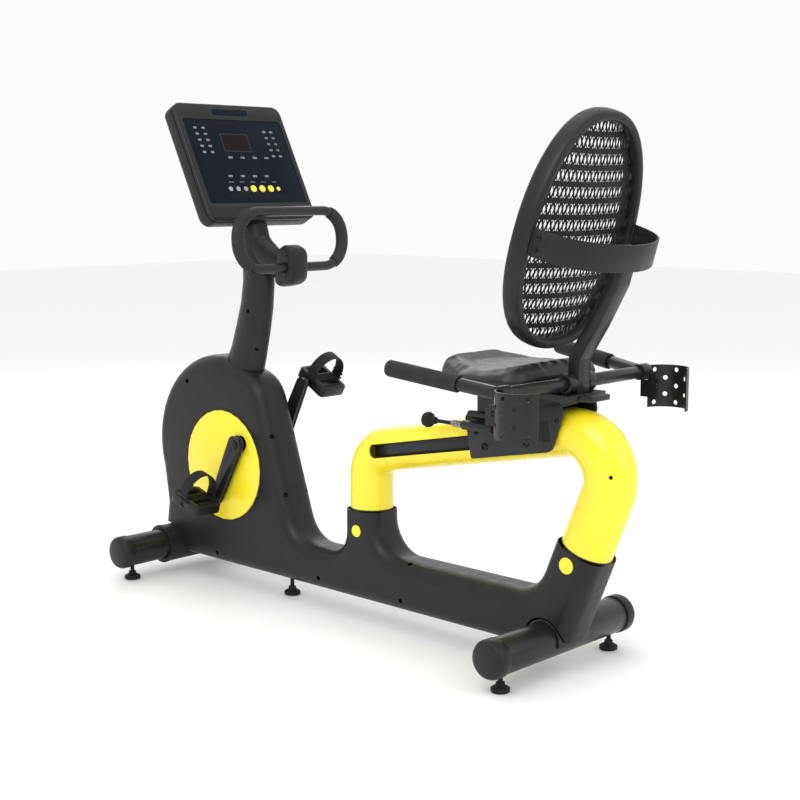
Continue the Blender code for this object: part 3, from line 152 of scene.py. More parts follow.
BAND_HEIGHT = -0.012
BIKE_SHIFT = 0.0083
SHIFT = Vector((BIKE_SHIFT, 0, 0))

# What only the looks need. Screws and holes are (x, z), plugs are (x, z, radius).
FLAT_SCREWS = [(-0.532, 0.080), (-0.127, 0.085), (-0.647, 0.546), (0.162, 0.083)]
EDGE_SCREWS = [(-0.301, 0.428), (-0.250, 0.279), (-0.119, 0.178), (0.195, 0.174), (0.533, 0.181)]
PLUGS = [(0.0045, 0.232, 0.0150), (0.650, 0.262, 0.0185)]
RAIL_HOLES = [(0.064, 0.452), (0.762, 0.470)]
SHELL_SMOOTH = 32

# The console: levels behind its face with their insets, and what lies on the film, as (across, up).
BACK_LEVELS = [
    (-0.0125, 0.0004),
    (-0.0135, 0.0),
    (-0.040, 0.0),
    (-0.0455, 0.002),
    (-0.0485, 0.0065),
    (-0.050, 0.013),
]
FILM_TOP = -0.0012
WINDOW = (-0.0125, 0.0545)
KEY_ROW = -0.080
# Each column's first key and pitch.
KEY_COLUMNS = [
    (-0.1335, 0.0955, -0.0175),
    (-0.1065, 0.0955, -0.0175),
    (0.0995, 0.0890, -0.0180),
    (0.1240, 0.0890, -0.0180),
]
# Number, first place across, pitch, height, half width, half height, corner radius.
MARK_ROWS = [
    (4, -0.048, 0.0415, 0.0110, 0.0072, 0.0030, 0.0015),
    (4, -0.069, 0.0415, -0.0430, 0.0072, 0.0030, 0.0015),
    (5, -0.074, 0.0370, -0.0600, 0.0080, 0.0010, 0.0005),
]

LATTICE_PITCH = 0.0352
LATTICE_ROWS = 14
ZIGZAG_STEP = 0.0118
PAD_PRESSURE = 4.0
PAD_STIFFNESS = 25.0
PAD_FRAMES = 20
PAD_MOST = 0.006

SIDES = ((-1, "left"), (1, "right"))

YELLOW = (0.90, 0.74, 0.020)
TONE_SCALE = 14.0
PATCH_SCALE = 55.0
ROUGH_SPREAD = 0.06

# Name, place, size and power in watts.
LIGHTS = [
    ("key", (1.2, -3.2, 3.2), 2.6, 70.0),
    ("fill", (3.6, 0.4, 2.2), 2.4, 26.0),
    ("back", (-3.0, 2.6, 3.0), 2.6, 30.0),
    ("top", (0.0, 0.0, 4.2), 3.0, 26.0),
]
LIGHT_AIM_Z = 0.6
CAMERA_SPOT = (2.4767, -2.5146, 1.0794)
CAMERA_DOWN = 0.14777
CAMERA_TURN = 0.75711
CAMERA_LENS = 64.8


def loft(rings, closed=False):
    """Skins a list of rings of equal length. A closed loft joins its last ring to its first."""
    mesh = bmesh.new()
    rows = [[mesh.verts.new(point) for point in ring] for ring in rings]
    count = len(rows[0])
    pairs = list(zip(rows, rows[1:]))
    if closed:
        pairs.append((rows[-1], rows[0]))
    for low, high in pairs:
        for i in range(count):
            j = (i + 1) % count
            mesh.faces.new((low[i], low[j], high[j], high[i]))
    if not closed:
        mesh.faces.new(rows[0])
        mesh.faces.new(rows[-1])
    return mesh


def box(low, high):
    """A block between two opposite corners."""
    rings = []
    for z in (low[2], high[2]):
        front = [(low[0], low[1], z), (high[0], low[1], z)]
        back = [(high[0], high[1], z), (low[0], high[1], z)]
        rings.append(front + back)
    return loft(rings)


def turned(profile, centre, axis="Y", segments=24):
    """The rings that (radius, distance) points make when they turn about an axis through the centre."""
    frames = {
        "X": (Vector((1, 0, 0)), Vector((0, 1, 0)), Vector((0, 0, 1))),
        "Y": (Vector((0, 1, 0)), Vector((0, 0, 1)), Vector((1, 0, 0))),
        "Z": (Vector((0, 0, 1)), Vector((1, 0, 0)), Vector((0, 1, 0))),
    }
    along, side, up = frames[axis]
    rings = []
    for radius, distance in profile:
        ring = []
        for i in range(segments):
            angle = 2 * math.pi * i / segments
            spoke = side * math.cos(angle) + up * math.sin(angle)
            ring.append(Vector(centre) + along * distance + spoke * radius)
        rings.append(ring)
    return rings


def turned_solid(profile, centre, axis="Y", segments=24):
    """A closed body of revolution with flat ends."""
    return loft(turned(profile, centre, axis, segments))


def turned_ring(profile, centre, axis="Y", segments=24):
    """A ring whose cross-section is the closed profile."""
    return loft(turned(profile, centre, axis, segments), closed=True)


def rod(radius, start, end, centre, axis="Y", segments=24):
    """A plain cylinder along an axis, between two distances from the centre."""
    return turned_solid([(radius, start), (radius, end)], centre, axis, segments)


def arc(centre, radius, start, end, count):
    """Points on a circle, with angles in degrees."""
    points = []
    for i in range(count):
        angle = math.radians(start + (end - start) * i / (count - 1))
        points.append((centre[0] + radius * math.cos(angle), centre[1] + radius * math.sin(angle)))
    return points


def rounded(corners, steps=4):
    """A closed outline from (x, z, radius) corners. A corner of radius 0 stays sharp."""
    points = []
    count = len(corners)
    for i, (x, z, radius) in enumerate(corners):
        here = Vector((x, z))
        back = Vector(corners[i - 1][:2]) - here
        ahead = Vector(corners[(i + 1) % count][:2]) - here
        if radius == 0:
            points.append((x, z))
            continue
        half = back.angle(ahead) / 2
        reach = radius / math.tan(half)
        centre = here + (back.normalized() + ahead.normalized()).normalized() * (radius / math.sin(half))
        first = here + back.normalized() * reach - centre
        last = here + ahead.normalized() * reach - centre
        sweep = first.angle_signed(last)
        for step in range(steps + 1):
            turn = Matrix.Rotation(-sweep * step / steps, 2)
            points.append(tuple(centre + turn @ first))
    return points


def rectangle(half_w, half_h, radius, across=0.0, up=0.0):
    """The corners of a rounded rectangle, anticlockwise from its low near one."""
    return [
        (across - half_w, up - half_h, radius),
        (across + half_w, up - half_h, radius),
        (across + half_w, up + half_h, radius),
        (across - half_w, up + half_h, radius),
    ]


def offset(points, distance):
    """Moves a closed anticlockwise outline inward by a distance."""
    moved = []
    count = len(points)
    for i in range(count):
        before = Vector(points[i]) - Vector(points[i - 1])
        after = Vector(points[(i + 1) % count]) - Vector(points[i])
        normal_a = Vector((-before.y, before.x)).normalized()
        normal_b = Vector((-after.y, after.x)).normalized()
        middle = (normal_a + normal_b).normalized()
        stretch = 1 / max(0.5, middle.dot(normal_a))
        moved.append(tuple(Vector(points[i]) + middle * (distance * stretch)))
    return moved


def plate(points, start, end):
    """A flat plate along Y with the given (x, z) outline."""
    return loft([[(x, level, z) for x, z in points] for level in (start, end)])


def frames_along(path, up, closed=False):
    """The side and up directions at each point of a path, kept as near to the given up as they can be."""
    count = len(path)
    frames = []
    for i in range(count):
        before = path[i - 1] if closed or i > 0 else path[i]
        after = path[(i + 1) % count] if closed or i < count - 1 else path[i]
        along = (Vector(after) - Vector(before)).normalized()
        side = along.cross(Vector(up)).normalized()
        frames.append((side, side.cross(along).normalized()))
    return frames


def oval(across, high, count, phase=0.0):
    """An ellipse as (side, up) pairs."""
    angles = [2 * math.pi * (i + phase) / count for i in range(count)]
    return [(across * math.cos(a), high * math.sin(a)) for a in angles]


def rings_along(path, section, up, closed=False):
    """The section's ring at each point of a path."""
    rings = []
    for point, (side, top) in zip(path, frames_along(path, up, closed)):
        rings.append([Vector(point) + side * a + top * b for a, b in section])
    return rings


def bar(path, section, up=(0.0, 1.0, 0.0), closed=False):
    """A solid with one section along a path."""
    return loft(rings_along(path, section, up, closed), closed=closed)


def bend(path, radius, steps):
    """Rounds the inner corners of a 3-D path with arcs."""
    points = [Vector(path[0])]
    for before, here, after in zip(path, path[1:], path[2:]):
        here = Vector(here)
        back = Vector(before) - here
        ahead = Vector(after) - here
        half = back.angle(ahead) / 2
        reach = radius / math.tan(half)
        inward = (back.normalized() + ahead.normalized()).normalized()
        centre = here + inward * (radius / math.sin(half))
        first = here + back.normalized() * reach - centre
        last = here + ahead.normalized() * reach - centre
        sweep = first.angle(last)
        turn_axis = first.cross(last).normalized()
        for step in range(steps + 1):
            points.append(centre + Matrix.Rotation(sweep * step / steps, 3, turn_axis) @ first)
    points.append(Vector(path[-1]))
    return points


def on_rail(along, normal, y=0.0):
    """A point by its distance along the rail and its height over the rail's axis."""
    return Vector(
        (
            RAIL_X + along * math.cos(RAIL_ANGLE) - normal * math.sin(RAIL_ANGLE),
            y,
            RAIL_Z + along * math.sin(RAIL_ANGLE) + normal * math.cos(RAIL_ANGLE),
        )
    )


def rail_plate(corners, start, end, steps=3):
    """A plate along Y whose outline is given in rail coordinates."""
    outline = rounded([(*on_rail(a, n).xz, r) for a, n, r in corners], steps)
    return plate(outline, start, end)


def console_point(across, up, out=0.0):
    """A point on the console's face: across is +Y, up lies in the face, out goes towards the rider."""
    sin_t = math.sin(CONSOLE_TILT)
    cos_t = math.cos(CONSOLE_TILT)
    return Vector((CONSOLE_X - up * sin_t + out * cos_t, across, CONSOLE_Z + up * cos_t + out * sin_t))


def pedal_centre(side):
    """The left crank points down and forward, the right one up and back."""
    x = CRANK_X + side * CRANK_LENGTH * math.sin(CRANK_LEAN)
    z = CRANK_Z + side * CRANK_LENGTH * math.cos(CRANK_LEAN)
    return Vector((x, side * PEDAL_Y, z))


def body_outline():
    """The side view of the body: beam, two stubs and the round housing, anticlockwise."""
    cos_r = math.cos(REAR_RISER_ANGLE)
    sin_r = math.sin(REAR_RISER_ANGLE)

    def beside_riser(side, height):
        """A point on the edge of the rear stub at a height."""
        x = REAR_JOINT_X + side * REAR_STUB_HALF * sin_r
        z = REAR_JOINT_Z - side * REAR_STUB_HALF * cos_r
        return x + (height - z) * cos_r / sin_r, height

    top = REAR_JOINT + REAR_DIRECTION * 0.075
    stub_end_z = FRONT_JOINT_Z + 0.080
    front = FRONT_RISER_X - STUB_HALF
    back = FRONT_RISER_X + STUB_HALF
    corners = [
        (-0.795, BODY_BOTTOM, 0.040),
        (*beside_riser(1, BODY_BOTTOM), 0.045),
        (top.x + REAR_STUB_HALF * sin_r, top.z - REAR_STUB_HALF * cos_r, 0.045),
        (top.x - REAR_STUB_HALF * sin_r, top.z + REAR_STUB_HALF * cos_r, 0.045),
        (*beside_riser(-1, BEAM_TOP), 0.090),
        (back, BEAM_TOP, 0.085),
        (back, stub_end_z, 0.045),
        (front, stub_end_z, 0.045),
        (front, 0.161, 0.060),
        (-0.229, 0.161, 0.090),
        (-0.366, 0.572, 0.100),
    ]
    stand_ins = [(-0.60, 0.66), (-0.80, 0.40)]  # two sharp corners where the round housing goes
    corners += [(x, z, 0.0) for x, z in stand_ins] + [(-0.772, 0.190, 0.05)]
    steps = 10
    outline = [point for point in rounded(corners, steps) if point not in stand_ins]
    tail = outline[-steps - 1:]
    outline = outline[:-steps - 1]
    housing = arc((HOUSING_X, HOUSING_Z), HOUSING_RADIUS, 86.0, 198.0, 44)
    return outline + housing + tail


def half_shell(side):
    """One thin moulded half, open on the seam side, as a single closed skin."""
    outline = body_outline()
    steps = 7
    rings = []
    for wall in (0.0, SHELL_WALL):
        levels = [(0.0, GAP / 2)]
        for i in range(steps + 1):
            angle = math.pi / 2 * i / steps
            inset = SHELL_ROUND * (1 - math.cos(angle))
            levels.append((inset, SHELL_HALF - SHELL_ROUND + (SHELL_ROUND - wall) * math.sin(angle)))
            if wall:
                levels[-1] = (SHELL_ROUND - (SHELL_ROUND - wall) * math.cos(angle) - wall, levels[-1][1])
        skin = []
        for inset, level in levels:
            points = offset(outline, inset + wall)
            skin.append([(x, side * level, z) for x, z in points])
        rings.append(skin)
    return loft(rings[0][::-1] + rings[1])


def front_notch():
    """Room for the front stabilizer and its sleeve under the housing's nose."""
    reach = SLEEVE_RADIUS + 2 * GAP
    points = arc((STAB_FRONT_X, STAB_Z), reach, -90.0, 90.0, 49)
    points += [(-0.90, STAB_Z + reach), (-0.90, STAB_Z - reach)]
    return plate(points, -0.2, 0.2)


def rear_notch():
    """Room for the rear stabilizer and its saddle."""
    reach = SADDLE_RADIUS + 0.004
    points = arc((STAB_REAR_X, STAB_Z), reach, 0.0, 180.0, 49)
    points += [(STAB_REAR_X - reach, 0.0), (STAB_REAR_X + 0.2, 0.0), (STAB_REAR_X + 0.2, STAB_Z)]
    return plate(points, -0.2, 0.2)


def block_beyond(point, direction):
    """A large block that starts at a plane through the point and goes on along the direction."""
    square = [(-0.08, -0.08), (0.08, -0.08), (0.08, 0.08), (-0.08, 0.08)]
    return bar([point, point + direction * 0.15], square)


def oval_post(stations, count, grow=0.0):
    """A post through (point, depth, width) stations, each an ellipse with these half sizes."""
    path = [station[0] for station in stations]
    rings = []
    for (point, depth, width), (side, top) in zip(stations, frames_along(path, (0, 1, 0))):
        ring = [point + side * a + top * b for a, b in oval(depth + grow, width + grow, count)]
        rings.append(ring)
    return loft(rings)


def mast_solid(grow=0.0):
    """The moulded mast: an oval post that leans back, then curves up to the console."""
    seat = MAST_SEAT - MAST_DIRECTION * MAST_DEPTH
    stations = [
        (seat, 0.064, 0.039),
        (seat + MAST_DIRECTION * 0.045, 0.060, 0.037),
        (Vector((-0.4380, 0, 0.700)), 0.057, 0.0350),
        (Vector((-0.4210, 0, 0.765)), 0.053, 0.0340),
        (Vector((-0.4130, 0, 0.830)), 0.051, 0.0330),
        (Vector((-0.4150, 0, 0.890)), 0.049, 0.0330),
        (Vector((-0.4240, 0, 0.945)), 0.042, 0.0330),
        (Vector((-0.4420, 0, 1.000)), 0.040, 0.0360),
        (Vector((-0.4660, 0, 1.050)), 0.036, 0.0380),
    ]
    return oval_post(stations, 20, grow)


def rail_path():
    """The bent tube's middle line, from the front joint to the rear joint."""
    corner_front = on_rail(-(RAIL_X - FRONT_RISER_X) / math.cos(RAIL_ANGLE), 0.0)
    slope = math.tan(RAIL_ANGLE)
    cot = math.cos(REAR_RISER_ANGLE) / math.sin(REAR_RISER_ANGLE)
    rise = (RAIL_Z + slope * (REAR_JOINT_X - RAIL_X) - REAR_JOINT_Z) / (1 - slope * cot)
    corner_rear = Vector((REAR_JOINT_X + rise * cot, 0.0, REAR_JOINT_Z + rise))
    start = Vector((FRONT_RISER_X, 0.0, FRONT_JOINT_Z + GAP))
    end = REAR_JOINT + REAR_DIRECTION * GAP
    front = bend([start, corner_front, on_rail(0.1, 0.0)], 0.072, 14)[:-1]
    rear = bend([on_rail(0.3, 0.0), corner_rear, end], 0.095, 20)[1:]
    return front + rear


def slot_cutter(y_start, y_end):
    """The long slot in one side of the rail tube."""
    ends = [SLOT_START, SLOT_END]
    corners = [
        (ends[0], -SLOT_HALF, 0.012),
        (ends[1], -SLOT_HALF, 0.012),
        (ends[1], SLOT_HALF, 0.012),
        (ends[0], SLOT_HALF, 0.012),
    ]
    return rail_plate(corners, y_start, y_end)


def bar_path():
    """The closed ring of the handlebar, a rounded rectangle seen from the seat."""
    path = []
    for y, height in rounded(rectangle(BAR_HALF, BAR_HEIGHT / 2, 0.068), 16):
        x = BAR_X - height * math.sin(BAR_LEAN)
        path.append(Vector((x, y, BAR_Z + height * math.cos(BAR_LEAN))))
    return path


def turned_on_console(across, up, radius, start, end, count=20):
    """A short round piece that stands out of the console's face."""
    rings = []
    for level in (start, end):
        ring = []
        for i in range(count):
            angle = 2 * math.pi * i / count
            spot = across + radius * math.cos(angle), up + radius * math.sin(angle)
            ring.append(console_point(*spot, level))
        rings.append(ring)
    return loft(rings)


def seat_outline(inset=0.0):
    """The seat from above: a narrow nose, widening to the hips."""
    corners = [
        (0.300, -0.095, 0.060),
        (0.440, -0.178, 0.120),
        (0.590, -0.170, 0.055),
        (0.590, 0.170, 0.055),
        (0.440, 0.178, 0.120),
        (0.300, 0.095, 0.060),
    ]
    return offset(rounded(corners, 12), inset)


def ramp(value):
    """A smooth step from 0 to 1."""
    value = min(1.0, max(0.0, value))
    return value * value * (3 - 2 * value)


def seat_rise(x):
    """How far the cushion's top stands over its lowest part: it rises to the nose and to the rear."""
    return NOSE_RISE * ramp((0.395 - x) / 0.085) + REAR_RISE * ramp((x - 0.490) / 0.090)


def seat_cushion():
    """The cushion's closed form, crowned towards the middle."""
    centre = Vector((SEAT_CENTRE_X, 0.0))
    crown = [(0.0, 0.010), (0.25, 0.001), (0.55, 0.0), (0.82, 0.007), (0.95, 0.018), (1.0, 0.036)]
    levels = [(share, [Vector(point) for point in seat_outline(inset)]) for share, inset in crown]
    for factor in (0.66, 0.33):
        levels.append((1.0, [centre + (point - centre) * factor for point in levels[5][1]]))
    rings = []
    for share, outline in levels:
        ring = []
        for x, y in outline:
            ring.append((x, y, PAD_BOTTOM + share * (PAD_HEIGHT + share * seat_rise(x))))
        rings.append(ring)
    return loft(rings)


def back_point(across, up, out=0.0):
    """A point in the backrest's plane. Out goes to the rear."""
    return BACK_CENTRE + Vector((0, across, 0)) + BACK_UP * up + BACK_OUT * out


def hoop_half_width(up):
    """Half the backrest's width at a height over its middle: a tall egg, widest below the middle."""
    share = up / (BACK_LENGTH / 2)
    return BACK_HALF * math.sqrt(max(0.0, 1 - abs(share) ** 2.3)) * (1 - BACK_EGG * share)


def hoop_path(shrink=0.0, count=120):
    """The hoop's middle line as (across, up) points: a blunt oval, narrower towards its top."""
    points = []
    for i in range(count):
        angle = 2 * math.pi * i / count
        share = math.sin(angle)
        up = (BACK_LENGTH / 2 - shrink) * math.copysign(abs(share) ** 0.9, share)
        egg = 1 - BACK_EGG * share
        side = math.cos(angle)
        across = (BACK_HALF - shrink) * egg * math.copysign(abs(side) ** 0.86, side)
        points.append((across, up))
    return points


# ---------------------------------------------------------------- materials


def noise(mat, vector, scale, detail):
    """A noise texture read at a vector, as its node's output."""
    node = mat.node_tree.nodes.new("ShaderNodeTexNoise")
    node.inputs["Scale"].default_value = scale
    node.inputs["Detail"].default_value = detail
    mat.node_tree.links.new(vector, node.inputs["Vector"])
    return node.outputs["Fac"]


def surface(
    name, colour, rough, grain, bump, spread, metallic=0.0, coat=0.0, kind="noise", gloss=0.5
):
    """A material whose colour, roughness and fine relief vary at their real scale."""
    mat = bpy.data.materials.new(name)
    mat.use_nodes = True
    nodes = mat.node_tree.nodes
    links = mat.node_tree.links
    shader = nodes["Principled BSDF"]
    shader.inputs["Metallic"].default_value = metallic
    shader.inputs["Specular IOR Level"].default_value = gloss
    shader.inputs["Coat Weight"].default_value = coat
    shader.inputs["Coat Roughness"].default_value = 0.08
    coordinates = nodes.new("ShaderNodeTexCoord").outputs["Object"]

    blend = nodes.new("ShaderNodeValToRGB")
    dark, light = blend.color_ramp.elements
    dark.position = 0.32
    light.position = 0.68
    dark.color = [c * (1 - spread) for c in colour] + [1.0]
    light.color = [min(1.0, c * (1 + spread)) for c in colour] + [1.0]
    links.new(noise(mat, coordinates, TONE_SCALE, 6.0), blend.inputs["Fac"])
    links.new(blend.outputs["Color"], shader.inputs["Base Color"])

    span = nodes.new("ShaderNodeMapRange")
    span.inputs["From Min"].default_value = 0.3
    span.inputs["From Max"].default_value = 0.7
    span.inputs["To Min"].default_value = max(0.03, rough - ROUGH_SPREAD)
    span.inputs["To Max"].default_value = min(1.0, rough + ROUGH_SPREAD)
    links.new(noise(mat, coordinates, PATCH_SCALE, 5.0), span.inputs["Value"])
    links.new(span.outputs["Result"], shader.inputs["Roughness"])

    relief = nodes.new("ShaderNodeBump")
    relief.inputs["Strength"].default_value = bump
    relief.inputs["Distance"].default_value = grain * 0.5
    if kind == "cells":
        cells = nodes.new("ShaderNodeTexVoronoi")
        cells.inputs["Scale"].default_value = 1.0 / grain
        links.new(coordinates, cells.inputs["Vector"])
        height = cells.outputs["Distance"]
    elif kind == "weave":
        total = nodes.new("ShaderNodeMath")
        total.operation = "MAXIMUM"
        for i, direction in enumerate(("Y", "Z")):
            wave = nodes.new("ShaderNodeTexWave")
            wave.bands_direction = direction
            wave.inputs["Scale"].default_value = 0.3 / grain
            wave.inputs["Distortion"].default_value = 0.6
            links.new(coordinates, wave.inputs["Vector"])
            links.new(wave.outputs["Fac"], total.inputs[i])
        height = total.outputs["Value"]
    elif kind == "brushed":
        stretch = nodes.new("ShaderNodeMapping")
        stretch.inputs["Scale"].default_value = (1.0 / grain, 0.05 / grain, 1.0 / grain)
        links.new(coordinates, stretch.inputs["Vector"])
        height = noise(mat, stretch.outputs["Vector"], 1.0, 2.0)
    else:
        height = noise(mat, coordinates, 0.6 / grain, 3.0)
    links.new(height, relief.inputs["Height"])
    links.new(relief.outputs["Normal"], shader.inputs["Normal"])
    return mat


def look(slot, name, colour, rough, grain, bump, spread, **more):
    """A surface, paired with a slot name."""
    return surface(name, colour, rough, grain, bump, spread, **more), slot


LOOKS = {
    "body": look(
        "body_plastic", "charcoal_plastic", (0.0115, 0.0115, 0.0120), 0.40, 0.0007, 0.25, 0.14,
        gloss=0.28
    ),
    "frame": look(
        "frame_paint", "black_powder_coat", (0.0120, 0.0120, 0.0128), 0.32, 0.0011, 0.20, 0.18,
        coat=0.06, gloss=0.30
    ),
    "yellow": look("yellow_plastic", "yellow_plastic", YELLOW, 0.30, 0.0016, 0.06, 0.012, coat=0.25),
    "paint": look("yellow_paint", "yellow_paint", YELLOW, 0.28, 0.0022, 0.03, 0.012, coat=0.30),
    "rubber": look(
        "foot_rubber", "black_rubber", (0.0095, 0.0095, 0.0100), 0.62, 0.0009, 0.35, 0.20,
        kind="cells", gloss=0.25
    ),
    "grip": look(
        "foot_rubber", "foam_grip", (0.0120, 0.0120, 0.0125), 0.66, 0.0020, 0.85, 0.45,
        kind="cells", gloss=0.40
    ),
    "steel": look(
        "steel", "machined_steel", (0.50, 0.50, 0.51), 0.28, 0.0007, 0.15, 0.08, metallic=1.0,
        kind="brushed"
    ),
    "bolt": look(
        "steel", "black_oxide", (0.0090, 0.0090, 0.0095), 0.36, 0.0006, 0.15, 0.25, gloss=0.25
    ),
    "iron": look(
        "cast_iron", "turned_iron", (0.18, 0.18, 0.19), 0.40, 0.0009, 0.20, 0.15, metallic=1.0,
        kind="brushed"
    ),
    "leather": look(
        "seat_leather", "seat_leather", (0.0100, 0.0100, 0.0105), 0.36, 0.0013, 0.38, 0.14,
        kind="cells", gloss=0.42
    ),
    "mesh": look(
        "mesh_fabric", "woven_strip", (0.0090, 0.0090, 0.0095), 0.60, 0.0012, 0.45, 0.20,
        kind="weave", gloss=0.25
    ),
    "screen": look(
        "screen", "navy_panel", (0.0022, 0.0050, 0.0110), 0.34, 0.0012, 0.03, 0.10, gloss=0.10
    ),
    "glass": look(
        "screen", "dark_red_window", (0.0110, 0.0040, 0.0040), 0.26, 0.0010, 0.02, 0.20, gloss=0.10
    ),
    "print": look("screen", "grey_print", (0.16, 0.17, 0.19), 0.50, 0.0008, 0.05, 0.35),
    "pale": look("body_plastic", "white_keycap", (0.30, 0.31, 0.31), 0.34, 0.0009, 0.08, 0.05),
}


# ---------------------------------------------------------------- making pieces


def merged(meshes):
    """One mesh out of several, which are used up."""
    total = bmesh.new()
    for mesh in meshes:
        data = bpy.data.meshes.new("part")
        mesh.to_mesh(data)
        mesh.free()
        total.from_mesh(data)
        bpy.data.meshes.remove(data)
    return total


def shade(data, angle):
    """Smooth faces, with a hard line at each edge that turns by more than an angle in degrees."""
    mesh = bmesh.new()
    mesh.from_mesh(data)
    for face in mesh.faces:
        face.smooth = True
    for edge in mesh.edges:
        edge.smooth = len(edge.link_faces) == 2 and edge.calc_face_angle(0.0) < math.radians(angle)
    mesh.to_mesh(data)
    mesh.free()


def settle(item):
    """Replaces an object's mesh by what its modifiers make of it."""
    graph = bpy.context.evaluated_depsgraph_get()
    data = bpy.data.meshes.new_from_object(item.evaluated_get(graph))
    for modifier in list(item.modifiers):
        helper = getattr(modifier, "object", None)
        item.modifiers.remove(modifier)
        if helper:
            bpy.data.objects.remove(helper, do_unlink=True)
    item.data = data


def link(name, mesh, shift=True):
    """An object in the scene. A shape drawn in the bike's own x is shifted to the frame's."""
    bmesh.ops.recalc_face_normals(mesh, faces=mesh.faces[:])
    data = bpy.data.meshes.new(name)
    mesh.to_mesh(data)
    mesh.free()
    if shift:
        data.transform(Matrix.Translation(SHIFT))
    item = bpy.data.objects.new(name, data)
    bpy.context.scene.collection.objects.link(item)
    return item


def cut(item, name, cutter):
    """Adds a Boolean that takes a closed form out of a piece."""
    modifier = item.modifiers.new("cut", "BOOLEAN")
    modifier.operation = "DIFFERENCE"
    modifier.solver = "EXACT"
    modifier.object = link(name, cutter)


def place(item, look, body, nodes, angle, bevel, cuts):
    """Cuts, bevels and shades a piece, then gives it its material and body, and hides the nodes it
    replaces.
    """
    for i, cutter in enumerate(cuts):
        cut(item, f"{item.name}_cut{i}", cutter)
    if cuts:
        settle(item)
    if bevel:
        modifier = item.modifiers.new("edge", "BEVEL")
        modifier.width = bevel
        modifier.segments = 2
        modifier.limit_method = "ANGLE"
        modifier.angle_limit = math.radians(38)
        settle(item)
    shade(item.data, angle)
    material, slot = LOOKS[look]
    item.data.materials.clear()
    item.data.materials.append(material)
    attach(item, body)
    if nodes:
        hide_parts(*nodes)
    return item


def piece(name, mesh, look, body, nodes=(), angle=35.0, bevel=0.0, cuts=()):
    """A new visible piece on a body, standing in for CAD nodes if any are named."""
    return place(link(name, mesh), look, body, nodes, angle, bevel, cuts)


def carried(node, look, angle=35.0, bevel=0.0008, cuts=()):
    """A CAD node's own shape with softened edges."""
    source = frame["nodes"][node]
    mesh = bmesh.new()
    mesh.from_mesh(source.data)
    bmesh.ops.remove_doubles(mesh, verts=mesh.verts[:], dist=2e-6)
    bmesh.ops.dissolve_limit(
        mesh, angle_limit=math.radians(0.4), verts=mesh.verts[:], edges=mesh.edges[:]
    )
    return place(link(node + "_s", mesh, False), look, source["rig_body"], [node], angle, bevel, cuts)


def cap_screw(point, direction, radius, height=0.003):
    """A button head with a hexagon socket, facing along a direction."""
    point = Vector(point)
    direction = Vector(direction).normalized()
    turn = direction.to_track_quat("Z", "Y").to_matrix()
    rings = []
    for share, level in ((1.0, -0.001), (1.0, 0.35), (0.86, 0.8), (0.62, 1.0), (0.50, 1.0)):
        ring = []
        for i in range(24):
            angle = 2 * math.pi * i / 24
            reach = radius * share
            ring.append((reach * math.cos(angle), reach * math.sin(angle), height * level))
        rings.append(ring)
    for level in (1.0, 0.2):
        ring = []
        for i in range(24):
            angle = 2 * math.pi * i / 24
            flat = math.pi / 6 - (angle % (math.pi / 3))
            reach = radius * 0.42 / math.cos(flat)
            ring.append((reach * math.cos(angle), reach * math.sin(angle), height * level))
        rings.append(ring)
    return loft([[point + turn @ Vector(spot) for spot in ring] for ring in rings])


# ---------------------------------------------------------------- base and shells


def stand():
    """Stabilizers, their caps, sleeve and saddle, and the levelling feet."""
    for node, look in (
        ("front_stabilizer", "frame"),
        ("rear_stabilizer", "frame"),
        ("front_stabilizer_sleeve", "body"),
        ("rear_stabilizer_saddle", "frame"),
    ):
        carried(node, look, bevel=0.0012)
    for end in ("front", "rear"):
        for _, name in SIDES:
            carried(f"{end}_end_cap_{name}", "body", bevel=0.0010)
    for end, name in SIDES:
        face = end * SLEEVE_HALF
        band = [
            (SLEEVE_RADIUS - 0.001, face - end * 0.0005),
            (SLEEVE_RADIUS + 0.0014, face - end * 0.0010),
            (SLEEVE_RADIUS + 0.0014, face - end * 0.0062),
            (SLEEVE_RADIUS - 0.001, face - end * 0.0068),
        ]
        lip = turned_ring(band, (STAB_FRONT_X, 0, STAB_Z), "Y", 64)
        piece(f"sleeve_lip_{name}", lip, "body", "frame")
    for end in ("front", "rear"):
        for _, name in SIDES:
            carried(f"{end}_foot_{name}", "rubber", bevel=0.0007)
    carried("centre_foot", "rubber", bevel=0.0007)


def meet(item, target, direction):
    """Where a line through a target point first meets a piece, and the normal there."""
    direction = Vector(direction).normalized()
    found, spot, normal, _ = item.ray_cast(Vector(target) - direction * 0.4, direction)
    return (spot, normal) if found else (None, None)


def sunk_screws(name, item, targets, directions, radius):
    """Dark screw heads at the bottom of short bores, where each line meets the surface."""
    heads = []
    bores = []
    for target, direction in zip(targets, directions):
        spot, normal = meet(item, target, direction)
        if spot is None:
            continue
        spot = spot - SHIFT
        heads.append(cap_screw(spot - normal * 0.0085, normal, radius * 0.92, 0.0022))
        ends = [spot - normal * 0.0080, spot + normal * 0.006]
        bores.append(bar(ends, oval(radius, radius, 28), up=(0.3, 0.2, 0.9)))
    cut(item, name + "_bores", merged(bores))
    settle(item)
    shade(item.data, SHELL_SMOOTH)
    piece(name, merged(heads), "rubber", "frame", angle=50)


def slanted(side):
    """Forward and inward, the way the screws in the rounded edges go in."""
    return (-0.687, -0.727 * side, 0.0)


